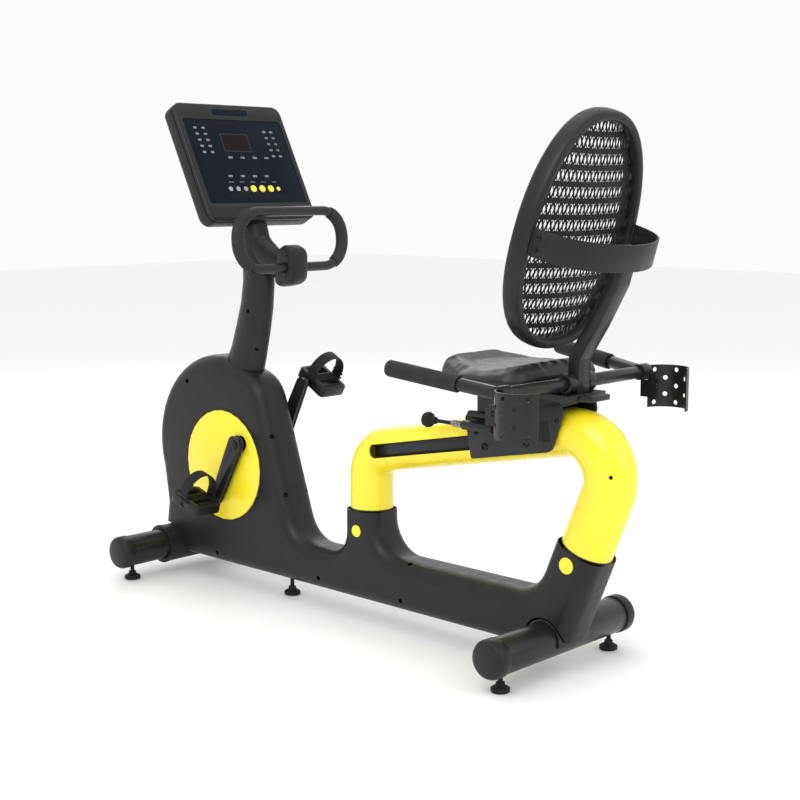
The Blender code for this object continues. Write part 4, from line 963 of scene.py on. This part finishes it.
def shells():
    """The moulded halves with their screws, plugs, round covers and rims."""
    for side, name in SIDES:
        cuts = [
            front_notch(),
            rear_notch(),
            block_beyond(Vector((FRONT_RISER_X, 0, FRONT_JOINT_Z)), Vector((0, 0, 1))),
            block_beyond(REAR_JOINT, REAR_DIRECTION),
            rod(COVER_RADIUS - 0.0035, 0.03 * side, 0.08 * side, (COVER_X, 0, COVER_Z), segments=96),
            rod(0.012, 0.05, 0.08, (CENTRE_FOOT_X, 0, 0), "Z", 32),
            mast_solid(GAP * 2),
        ]
        node = f"body_shell_{name}"
        shell = piece(node + "_s", half_shell(side), "body", "frame", [node], SHELL_SMOOTH, cuts=cuts)
        targets = [(x, side * SHELL_HALF, z) for x, z in FLAT_SCREWS + EDGE_SCREWS]
        directions = [(0, -side, 0)] * len(FLAT_SCREWS) + [slanted(side)] * len(EDGE_SCREWS)
        sunk_screws(f"body_screws_{name}", shell, targets, directions, 0.0062)
        domes = []
        for x, z, radius in PLUGS:
            face = side * SHELL_HALF
            profile = [
                (radius, face - side * 0.001),
                (radius, face + side * 0.0012),
                (radius * 0.94, face + side * 0.0024),
                (radius * 0.60, face + side * 0.0033),
                (radius * 0.10, face + side * 0.0036),
            ]
            domes.append(turned_solid(profile, (x, 0, z), "Y", 40))
        piece(f"riser_plugs_{name}", merged(domes), "yellow", "frame")
        carried(f"round_cover_{name}", "yellow", angle=28, bevel=0.0005)
        edge = side * (SHELL_HALF - 0.0005)
        rim = [
            (COVER_RADIUS + 0.0005, edge),
            (COVER_RADIUS + 0.0060, edge),
            (COVER_RADIUS + 0.0050, edge + side * 0.0024),
            (COVER_RADIUS + 0.0015, edge + side * 0.0024),
        ]
        rim = turned_ring(rim, (COVER_X, 0, COVER_Z), "Y", 96)
        piece(f"cover_rim_{name}", rim, "body", "frame", angle=50)


def rail():
    """The bent yellow tube, which widens at its rear bend, its slot and its collars at the two joints."""
    path = rail_path()
    bore = TUBE_RADIUS - TUBE_WALL
    outer = rings_along(path, oval(TUBE_RADIUS, TUBE_RADIUS, 64), (0.0, 1.0, 0.0))
    inner = rings_along(path, oval(bore, bore, 64), (0.0, 1.0, 0.0))
    swell_start = on_rail(0.445, 0.0).x
    swell_end = REAR_JOINT_X + 0.030
    passed = False
    for i, middle in enumerate(path):
        share = (middle.x - swell_start) / (swell_end - swell_start)
        passed = passed or share >= 1.0
        factor = TUBE_SWELL if passed else 1 + (TUBE_SWELL - 1) * max(0.0, share)
        for ring in (outer[i], inner[i]):
            for j, point in enumerate(ring):
                wide = middle + (point - middle) * factor
                ring[j] = Vector((wide.x, point.y, wide.z))
    cuts = [slot_cutter(-0.08, -0.03), slot_cutter(0.03, 0.08)]
    for x, z in RAIL_HOLES:
        cuts.append(rod(0.0045, -0.09, -0.035, (x - BIKE_SHIFT, 0, z), segments=20))
    tube = loft(outer + inner[::-1], closed=True)
    piece("rail_tube_s", tube, "paint", "frame", ["seat_rail_tube"], angle=30, cuts=cuts)
    carried("rail_track", "frame", bevel=0.0006)
    collars = []
    for centre, direction, across, tall in (
        (Vector((FRONT_RISER_X, 0, FRONT_JOINT_Z)), Vector((0, 0, 1)), TUBE_RADIUS, TUBE_RADIUS),
        (REAR_JOINT, REAR_DIRECTION, TUBE_RADIUS * TUBE_SWELL, TUBE_RADIUS),
    ):
        start = centre + direction * 0.0004
        end = centre + direction * 0.0045
        low_out, high_out = rings_along([start, end], oval(across + 0.0016, tall + 0.0016, 64), (0, 1, 0))
        low_in, high_in = rings_along([start, end], oval(across + 0.0002, tall + 0.0002, 64), (0, 1, 0))
        collars.append(loft([low_out, high_out, high_in, low_in], closed=True))
    piece("riser_collars", merged(collars), "body", "frame", angle=40)


# ---------------------------------------------------------------- drive


def drive():
    """Cranks and pedals. The parts inside the shells keep their CAD shape and only get a material."""
    for side in ("left", "right"):
        carried(f"crank_{side}", "frame", bevel=0.0012)
        carried(f"pedal_{side}", "body", bevel=0.0008)
        carried(f"pedal_strap_{side}", "rubber", bevel=0.0004)
    for side, name in SIDES:
        face = side * (CRANK_Y + CRANK_THICK / 2)
        bolt = [
            (0.0105, face - side * 0.001),
            (0.0105, face + side * 0.0008),
            (0.0085, face + side * 0.0022),
            (0.0030, face + side * 0.0026),
            (0.0020, face + side * 0.0006),
        ]
        bolt = turned_solid(bolt, (CRANK_X, 0, CRANK_Z), "Y", 32)
        piece(f"crank_cap_{name}", bolt, "bolt", "crank")
        pedal_details(side, name)
    for node, look in (
        ("crank_axle", "bolt"),
        ("drive_pulley", "steel"),
        ("flywheel_axle", "steel"),
        ("flywheel", "iron"),
        ("crank_bearing_left", "steel"),
        ("crank_bearing_right", "steel"),
        ("drive_belt", "rubber"),
        ("magnet_brake", "frame"),
        ("frame_spine", "frame"),
        ("seat_pan", "body"),
    ):
        data = frame["nodes"][node].data
        data.materials.clear()
        data.materials.append(LOOKS[look][0])


def pedal_details(side, name):
    """Tread ribs on both faces, and the studs and the buckle of the strap."""
    centre = pedal_centre(side)
    move = Matrix.Translation(centre) @ Matrix.Rotation(math.radians(PEDAL_TILT[name]), 4, "Y")
    body = f"pedal_{name[0]}"
    ribs = []
    for face in (-1, 1):
        for x in (-0.044, -0.0405, -0.0090, -0.0045, 0.0, 0.0045, 0.0090, 0.0405, 0.044):
            high = face * (PEDAL_HALF_Z + 0.0014)
            low = face * (PEDAL_HALF_Z - 0.0010)
            reach = 0.028 if abs(x) > 0.03 else 0.034
            ribs.append(box((x - 0.0011, -reach, min(low, high)), (x + 0.0011, reach, max(low, high))))
    mesh = merged(ribs)
    mesh.transform(move)
    piece(f"pedal_ribs_{name}", mesh, "rubber", body, bevel=0.0004)
    studs = []
    strap_face = PEDAL_HALF_Y + 0.0042
    for end in (-1, 1):
        studs.append(cap_screw((0, end * strap_face, 0.0108), (0, end, 0), 0.0022, 0.0016))
    outer = side * strap_face
    low = min(outer, outer + side * 0.003)
    studs.append(box((-0.019, low, 0.0125), (0.019, low + 0.003, 0.0165)))
    studs.append(box((-0.019, low, 0.0245), (0.019, low + 0.003, 0.0285)))
    mesh = merged(studs)
    mesh.transform(move)
    piece(f"strap_studs_{name}", mesh, "bolt", body, bevel=0.0004)


# ---------------------------------------------------------------- mast, handlebar, console


def bar_ring(path, i, radius):
    """The circle about one point of the handlebar's closed path."""
    near = [path[i - 1], path[i], path[(i + 1) % len(path)]]
    return rings_along(near, oval(radius, radius, 32), (1, 0, 0))[1]


def mast():
    """The mast and the ring handlebar with its grips, boss and neck."""
    post = carried("mast", "body", angle=40, bevel=0.0)
    targets = []
    directions = []
    for x, z in ((-0.410, 0.752), (-0.380, 0.651)):
        for side in (-1, 1):
            targets.append((x, side * 0.035, z))
            directions.append(slanted(side))
    sunk_screws("mast_screws", post, targets, directions, 0.0056)
    path = bar_path()
    count = len(path)
    round_bar = oval(BAR_RADIUS, BAR_RADIUS, 32)
    ring = bar(path, round_bar, up=(1, 0, 0), closed=True)
    piece("handlebar_ring_s", ring, "frame", "frame", ["handlebar_ring"])
    steps = count // 4
    for name, first in (("left", 3 * steps + 4), ("right", steps + 5)):
        picked = [(first + i) % count for i in range(2 * steps - 9)]
        rings = []
        for k, i in enumerate(picked):
            end = min(k, len(picked) - 1 - k)
            thick = BAR_RADIUS + 0.0036 - 0.0012 * max(0.0, 1 - end / 1.5)
            rings.append(bar_ring(path, i, thick))
        for i in reversed(picked):
            rings.append(bar_ring(path, i, BAR_RADIUS + 0.0002))
        piece(f"ring_grip_{name}", loft(rings, closed=True), "grip", "frame", [f"handlebar_grip_{name}"])
    carried("handlebar_boss", "body", angle=40, bevel=0.0010)
    low_x = BAR_X + math.sin(BAR_LEAN) * BAR_HEIGHT / 2
    low_z = BAR_Z - math.cos(BAR_LEAN) * BAR_HEIGHT / 2
    stations = [
        (Vector((-0.428, 0, 0.960)), 0.026, 0.030),
        (Vector((-0.398, 0, 0.918)), 0.034, 0.031),
        (Vector((-0.368, 0, 0.892)), 0.037, 0.031),
        (Vector((-0.336, 0, 0.876)), 0.036, 0.030),
        (Vector((low_x - 0.034, 0, low_z + 0.003)), 0.034, 0.028),
        (Vector((low_x - 0.020, 0, low_z + 0.002)), 0.030, 0.026),
    ]
    neck = oval_post(stations, 36)
    piece("handlebar_neck", neck, "body", "frame", angle=50, cuts=[mast_solid(GAP * 2)])
    screws = []
    for side in (-1, 1):
        for dx, dz in ((0.012, 0.030), (0.010, -0.024)):
            spot = (low_x + dx - 0.004, side * 0.0308, low_z + dz)
            screws.append(cap_screw(spot, (0, side, 0), 0.0042, 0.0022))
    piece("boss_screws", merged(screws), "bolt", "frame")


def slab(across, up, half_w, half_h, radius, start, end, edge=0.0004):
    """A small rounded slab on the console's face."""
    outline = rounded(rectangle(half_w, half_h, radius, across, up), 5)
    rings = []
    for level, inset in ((start, 0.0), (end - edge, 0.0), (end, edge)):
        rings.append([console_point(y, z, level) for y, z in offset(outline, inset)])
    return loft(rings)


def console():
    """The console's housing, its bezel and film, the three keys, and what is printed on the film."""
    outline = rounded(rectangle(CONSOLE_HALF_W, CONSOLE_HALF_H, CONSOLE_CORNER), 10)
    rings = []
    for level, inset in BACK_LEVELS:
        rings.append([console_point(y, z, level) for y, z in offset(outline, inset)])
    piece("console_back_s", loft(rings), "body", "frame", ["console_back"], angle=40)
    carried("console_bezel", "body", angle=40, bevel=0.0010)
    carried("console_screen", "screen", angle=40, bevel=0.0003)
    for i in range(1, 4):
        carried(f"console_key_{i}", "yellow", bevel=0.0006)
    top = FILM_TOP
    low = top - 0.0006
    across, up = WINDOW
    window = slab(across, up, 0.0440, 0.0235, 0.003, low, top + 0.0005)
    piece("console_window", window, "glass", "frame")
    surround = slab(across, up, 0.0470, 0.0265, 0.004, low, top + 0.0003)
    piece("console_window_frame", surround, "body", "frame")
    digits = []
    for i in range(4):
        centre = -0.0455 + 0.022 * i
        for dy, dz, w, h in (
            (0, 0.012, 0.0050, 0.0011), (0, 0, 0.0050, 0.0011), (0, -0.012, 0.0050, 0.0011),
            (-0.0062, 0.006, 0.0011, 0.0045), (0.0062, 0.006, 0.0011, 0.0045),
            (-0.0062, -0.006, 0.0011, 0.0045), (0.0062, -0.006, 0.0011, 0.0045),
        ):
            digits.append(slab(centre + dy, up + dz, w, h, 0.0005, top + 0.0003, top + 0.0008, 0.0002))
    piece("console_segments", merged(digits), "glass", "frame")
    pads = []
    for across, start, pitch in KEY_COLUMNS:
        for i in range(5):
            spot = across + 0.0012 * i, start + pitch * i
            pads.append(slab(*spot, 0.0058, 0.0034, 0.0030, low, top + 0.0006))
    piece("console_quick_keys", merged(pads), "print", "frame")
    marks = []
    for number, start, pitch, height, half_w, half_h, corner in MARK_ROWS:
        for i in range(number):
            marks.append(slab(start + pitch * i, height, half_w, half_h, corner, low, top + 0.0004))
    piece("console_marks", merged(marks), "print", "frame")
    whites = []
    for across in (-0.083, -0.0575, -0.032):
        whites.append(turned_on_console(across, KEY_ROW, 0.0068, top - 0.0005, top + 0.0012, 32))
    piece("console_round_keys", merged(whites), "pale", "frame", bevel=0.0005)
    last = turned_on_console(0.081, KEY_ROW, 0.0060, top - 0.0005, top + 0.0012, 32)
    piece("console_end_key", last, "yellow", "frame", bevel=0.0005)
    badge = slab(0.0, 0.1430, 0.0600, 0.0085, 0.0080, -0.0006, 0.0012)
    piece("console_top_plate", badge, "screen", "frame")
    lip = slab(0.0, -0.1465, 0.1680, 0.0150, 0.0060, -0.0006, 0.0010)
    piece("console_lower_plate", lip, "body", "frame")
    screws = []
    for across in (-0.150, 0.150):
        for up in (-0.140, 0.140):
            spot = console_point(across, up, -CONSOLE_DEPTH - 0.0002)
            away = spot - console_point(across, up, 0.0)
            screws.append(cap_screw(spot - away * 0.01, away, 0.0040, 0.0022))
    piece("console_back_screws", merged(screws), "bolt", "frame")


# ---------------------------------------------------------------- seat


def carriage():
    """What the seat rides on: the carriage, cross tube and handles, and their screws."""
    carried("seat_carriage", "frame", angle=30, bevel=0.0008)
    carried("seat_cross_tube", "frame", bevel=0.0008)
    for side in ("left", "right"):
        carried(f"seat_handle_{side}", "frame", bevel=0.0010)
        carried(f"seat_grip_{side}", "grip", bevel=0.0006)
    caps = []
    for side in (-1, 1):
        start = Vector((CROSS_X, side * (CROSS_HALF + 0.017), CROSS_Z))
        tip = Vector((HANDLE_TIP[0], side * HANDLE_TIP[1], HANDLE_TIP[2]))
        along = (tip - start).normalized()
        path = [tip + along * reach for reach in (0.0038, 0.0046, 0.0052)]
        rings = []
        for point, radius in zip(path, (0.0062, 0.0060, 0.0040)):
            rings += rings_along([point, point + along], oval(radius, radius, 28), (0, 0, 1))[:1]
        caps.append(loft(rings))
    piece("handle_end_plugs", merged(caps), "yellow", "seat", angle=50)
    half = TUBE_RADIUS + 0.0110
    screws = []
    slot_shades = []
    for side in (-1, 1):
        for along, normal, radius in (
            (0.205, 0.022, 0.0048), (0.238, 0.024, 0.0048), (0.225, -0.012, 0.0095),
            (0.345, -0.012, 0.0095), (0.438, 0.030, 0.0058), (0.300, 0.030, 0.0048),
        ):
            spot = on_rail(along, normal)
            screws.append(cap_screw((spot.x, side * half, spot.z), (0, side, 0), radius, 0.0036))
        # Dark rubber plates over the carriage's two side slots: painted shade standing for the dark
        # inside of the slots.
        for along, normal, long, tall in ((0.375, 0.010, 0.010, 0.021), (0.402, 0.010, 0.0115, 0.023)):
            corners = rectangle(long, tall, 0.003, along, normal)
            low = side * (half - 0.001)
            high = side * (half + (0.0022 if long < 0.011 else 0.0008))
            slot_shades.append(rail_plate(corners, min(low, high), max(low, high), 4))
    piece("carriage_screws", merged(screws), "bolt", "seat")
    piece("carriage_slot_shades", merged(slot_shades), "rubber", "seat", bevel=0.0003)
    middle = (0, -0.088, 0.573)
    profile = [(0.0088, 0.398), (0.0095, 0.400), (0.0095, 0.448), (0.0088, 0.450)]
    tube = turned_solid(profile, middle, "X", 28)
    bore = rod(0.0062, 0.38, 0.412, middle, "X", 24)
    piece("release_sleeve", tube, "frame", "seat", angle=40, cuts=[bore])


def knob():
    """The pull knob, with the spring and the nut on its rod."""
    carried("seat_pull_knob", "rubber", angle=40, bevel=0.0006)
    turns, steps, radius = 7, 16, 0.0070
    start = KNOB_HOUSING[0] - 0.034
    end = KNOB_HOUSING[0] - 0.004
    coil = []
    for i in range(turns * steps + 1):
        angle = 2 * math.pi * i / steps
        x = start + (end - start) * (i / (turns * steps))
        y = KNOB[1] + radius * math.cos(angle)
        coil.append(Vector((x, y, KNOB_ROD_Z + radius * math.sin(angle))))
    piece("knob_spring", bar(coil, oval(0.0009, 0.0009, 8)), "steel", "seat")
    middle = (0, KNOB[1], KNOB_ROD_Z)
    nut = rod(0.0095, KNOB_HOUSING[0] - 0.0035, KNOB_HOUSING[0] + 0.001, middle, "X", 6)
    bore = rod(0.0050, 0.3, 0.5, middle, "X", 24)
    piece("knob_nut", nut, "bolt", "seat", angle=20, bevel=0.0005, cuts=[bore])


def inflate(item):
    """Blows a closed mesh up as cloth, and keeps the result within a few millimetres of its form."""
    rest = [v.co.copy() for v in item.data.vertices]
    cloth = item.modifiers.new("cloth", "CLOTH")
    cloth.settings.use_pressure = True
    cloth.settings.uniform_pressure_force = PAD_PRESSURE
    cloth.settings.effector_weights.gravity = 0.0
    cloth.settings.tension_stiffness = PAD_STIFFNESS
    cloth.settings.compression_stiffness = PAD_STIFFNESS
    for number in range(1, PAD_FRAMES + 1):
        bpy.context.scene.frame_set(number)
    graph = bpy.context.evaluated_depsgraph_get()
    grown = item.evaluated_get(graph).to_mesh()
    spots = [v.co.copy() for v in grown.vertices]
    item.modifiers.clear()
    bpy.context.scene.frame_set(1)
    for vertex, was, now in zip(item.data.vertices, rest, spots):
        move = now - was
        if move.length > PAD_MOST:
            move = move.normalized() * PAD_MOST
        vertex.co = was + move


def seat():
    """The cushion: blown up from a slightly smaller form, then given its piping."""
    item = link("seat_cushion", seat_cushion())
    centre = Vector((SEAT_CENTRE_X + BIKE_SHIFT, 0.0, PAD_BOTTOM))
    for vertex in item.data.vertices:
        away = vertex.co - centre
        vertex.co = centre + Vector((away.x * 0.982, away.y * 0.978, 0.0008 + away.z * 0.91))
    voxel = item.modifiers.new("remesh", "REMESH")
    voxel.mode = "VOXEL"
    voxel.voxel_size = 0.005
    settle(item)
    inflate(item)
    for vertex in item.data.vertices:
        vertex.co.z = max(vertex.co.z, PAD_BOTTOM + 0.0004)
    soft = item.modifiers.new("smooth", "SUBSURF")
    soft.levels = 1
    soft.render_levels = 1
    settle(item)
    place(item, "leather", "seat", ["seat_pad"], 60, 0, ())
    path = []
    for x, y in seat_outline():
        edge = Vector((x + BIKE_SHIFT, y, PAD_BOTTOM + 0.0100))
        spot, _ = meet(item, edge, Vector((centre.x, 0.0, edge.z)) - edge)
        path.append((spot or edge) - SHIFT)
    piping = bar(path, oval(0.0024, 0.0024, 12), up=(0, 0, 1), closed=True)
    piece("seat_piping", piping, "leather", "seat")


def holders():
    """Curved plates with rows of round holes."""
    for side, name in SIDES:
        centre = Vector((HOLDER_X, side * (HOLDER_Y - 0.014), HOLDER_Z))
        cuts = []
        for row in range(5):
            height = -0.038 + 0.0190 * row
            for column in range(3):
                angle = math.radians(36.0 + 58.0 * column + (29.0 if row % 2 else 0.0))
                if angle > math.radians(162):
                    continue
                direction = Vector((math.cos(angle), side * math.sin(angle), 0.0))
                middle = centre + Vector((0, 0, height))
                start = middle + direction * (HOLDER_RADIUS - 0.006)
                end = middle + direction * (HOLDER_RADIUS + 0.010)
                cuts.append(bar([start, end], oval(0.0054, 0.0054, 20), up=(0, 0, 1)))
        carried(f"holder_plate_{name}", "frame", angle=30, bevel=0.0, cuts=[merged(cuts)])


# ---------------------------------------------------------------- backrest


def backrest():
    """The hoop, its lattice, the lumbar band and the post."""
    path = [back_point(a, u) for a, u in hoop_path(HOOP_WIDTH)]
    section = []
    for a, b in oval(1.0, 1.0, 28):
        wide = math.copysign(abs(a) ** 0.72, a)
        deep = math.copysign(abs(b) ** 0.72, b)
        section.append((HOOP_WIDTH * 0.93 * wide, HOOP_DEPTH * 0.96 * deep))
    hoop = bar(path, section, up=tuple(BACK_OUT), closed=True)
    piece("back_hoop_s", hoop, "body", "seat", ["back_hoop"], 45)
    lattice()
    carried("lumbar_band", "body", angle=40, bevel=0.0012)
    carried("back_post", "frame", angle=40, bevel=0.0025)
    half = hoop_half_width(BAND_HEIGHT) - HOOP_WIDTH
    bolts = []
    for side in (-1, 1):
        for dz in (-0.014, 0.014):
            spot = back_point(side * (half + 0.0008), BAND_HEIGHT + dz, HOOP_DEPTH + 0.016)
            bolts.append(cap_screw(spot, (0, side, 0), 0.0045, 0.0026))
    piece("band_bolts", merged(bolts), "bolt", "seat")


def mesh_point(across, up, lift=0.0):
    """A point on the bowed sheet of the back."""
    half = max(0.02, hoop_half_width(up))
    reach = BACK_LENGTH / 2
    scale = min(1.0, math.sqrt((across / half) ** 2 + (up / reach) ** 2))
    return back_point(across, up, 0.020 * (1 - scale ** 2) + lift)


def strip(start, end, half_width, thick, steps):
    """A thin flat strip that lies in the bowed sheet."""
    rings = []
    across = Vector((end[0] - start[0], end[1] - start[1])).normalized()
    side = Vector((-across.y, across.x)) * half_width
    for i in range(steps + 1):
        share = i / steps
        a = start[0] + (end[0] - start[0]) * share
        u = start[1] + (end[1] - start[1]) * share
        rings.append([
            mesh_point(a - side.x, u - side.y, -thick / 2),
            mesh_point(a + side.x, u + side.y, -thick / 2),
            mesh_point(a + side.x, u + side.y, thick / 2),
            mesh_point(a - side.x, u - side.y, thick / 2),
        ])
    return loft(rings)


def in_hoop(across, up):
    """Whether a point of the sheet lies inside the hoop's inner edge, or just under it."""
    wide = abs(across) < hoop_half_width(up) - HOOP_WIDTH + 0.004
    return wide and abs(up) < BACK_LENGTH / 2 - HOOP_WIDTH


def lattice():
    """Level strips, with a wide and a thin zigzag crossing between them."""
    pitch = LATTICE_PITCH
    count = LATTICE_ROWS
    strips = []
    for row in range(count + 1):
        up = -pitch * count / 2 + pitch * row
        half = hoop_half_width(up) - HOOP_WIDTH
        if half > 0.03:
            strips.append(strip((-half, up), (half, up), 0.0056, 0.0022, 40))
    for row in range(-1, count + 1):
        low = -pitch * count / 2 + pitch * row
        high = low + pitch
        number = int(BACK_HALF / ZIGZAG_STEP) + 1
        for i in range(-number, number):
            across = i * ZIGZAG_STEP
            for turn, half in ((0, 0.0021), (1, 0.0010)):
                rising = (i + turn) % 2
                start = (across, low if rising else high)
                end = (across + ZIGZAG_STEP, high if rising else low)
                if in_hoop(*start) and in_hoop(*end):
                    strips.append(strip(start, end, half, 0.0016 - 0.0004 * turn, 3))
    piece("back_lattice", merged(strips), "mesh", "seat", ["back_mesh"], 30)


# ---------------------------------------------------------------- studio


def studio():
    """A white room with soft lights, and the camera."""
    scene = bpy.context.scene
    world = bpy.data.worlds.new("studio")
    world.use_nodes = True
    background = world.node_tree.nodes["Background"]
    background.inputs["Color"].default_value = (1.0, 1.0, 1.0, 1.0)
    background.inputs["Strength"].default_value = 0.97
    scene.world = world
    scene.view_settings.view_transform = "Standard"
    floor_mesh = bmesh.new()
    bmesh.ops.create_grid(floor_mesh, x_segments=2, y_segments=2, size=14.0)
    data = bpy.data.meshes.new("floor")
    floor_mesh.to_mesh(data)
    floor_mesh.free()
    floor = bpy.data.objects.new("floor", data)
    scene.collection.objects.link(floor)
    floor.location = (0, 0, -0.0006)
    floor_look = surface("floor_paper", (0.93, 0.93, 0.93), 0.7, 0.002, 0.02, 0.01)
    data.materials.append(floor_look)
    for name, spot, size, power in LIGHTS:
        light = bpy.data.lights.new(name, "AREA")
        light.size = size
        light.energy = power
        lamp = bpy.data.objects.new(name, light)
        scene.collection.objects.link(lamp)
        lamp.location = spot
        aim = Vector((0, 0, LIGHT_AIM_Z)) - Vector(spot)
        lamp.rotation_euler = aim.to_track_quat("-Z", "Y").to_euler()
    camera = bpy.data.cameras.new("camera")
    camera.lens = CAMERA_LENS
    camera.sensor_width = 36.0
    eye = bpy.data.objects.new("camera", camera)
    scene.collection.objects.link(eye)
    eye.location = (CAMERA_SPOT[0] + BIKE_SHIFT, *CAMERA_SPOT[1:])
    eye.rotation_euler = (math.pi / 2 - CAMERA_DOWN, 0.0, CAMERA_TURN)
    scene.camera = eye


studio()
stand()
shells()
rail()
drive()
mast()
console()
carriage()
knob()
seat()
holders()
backrest()
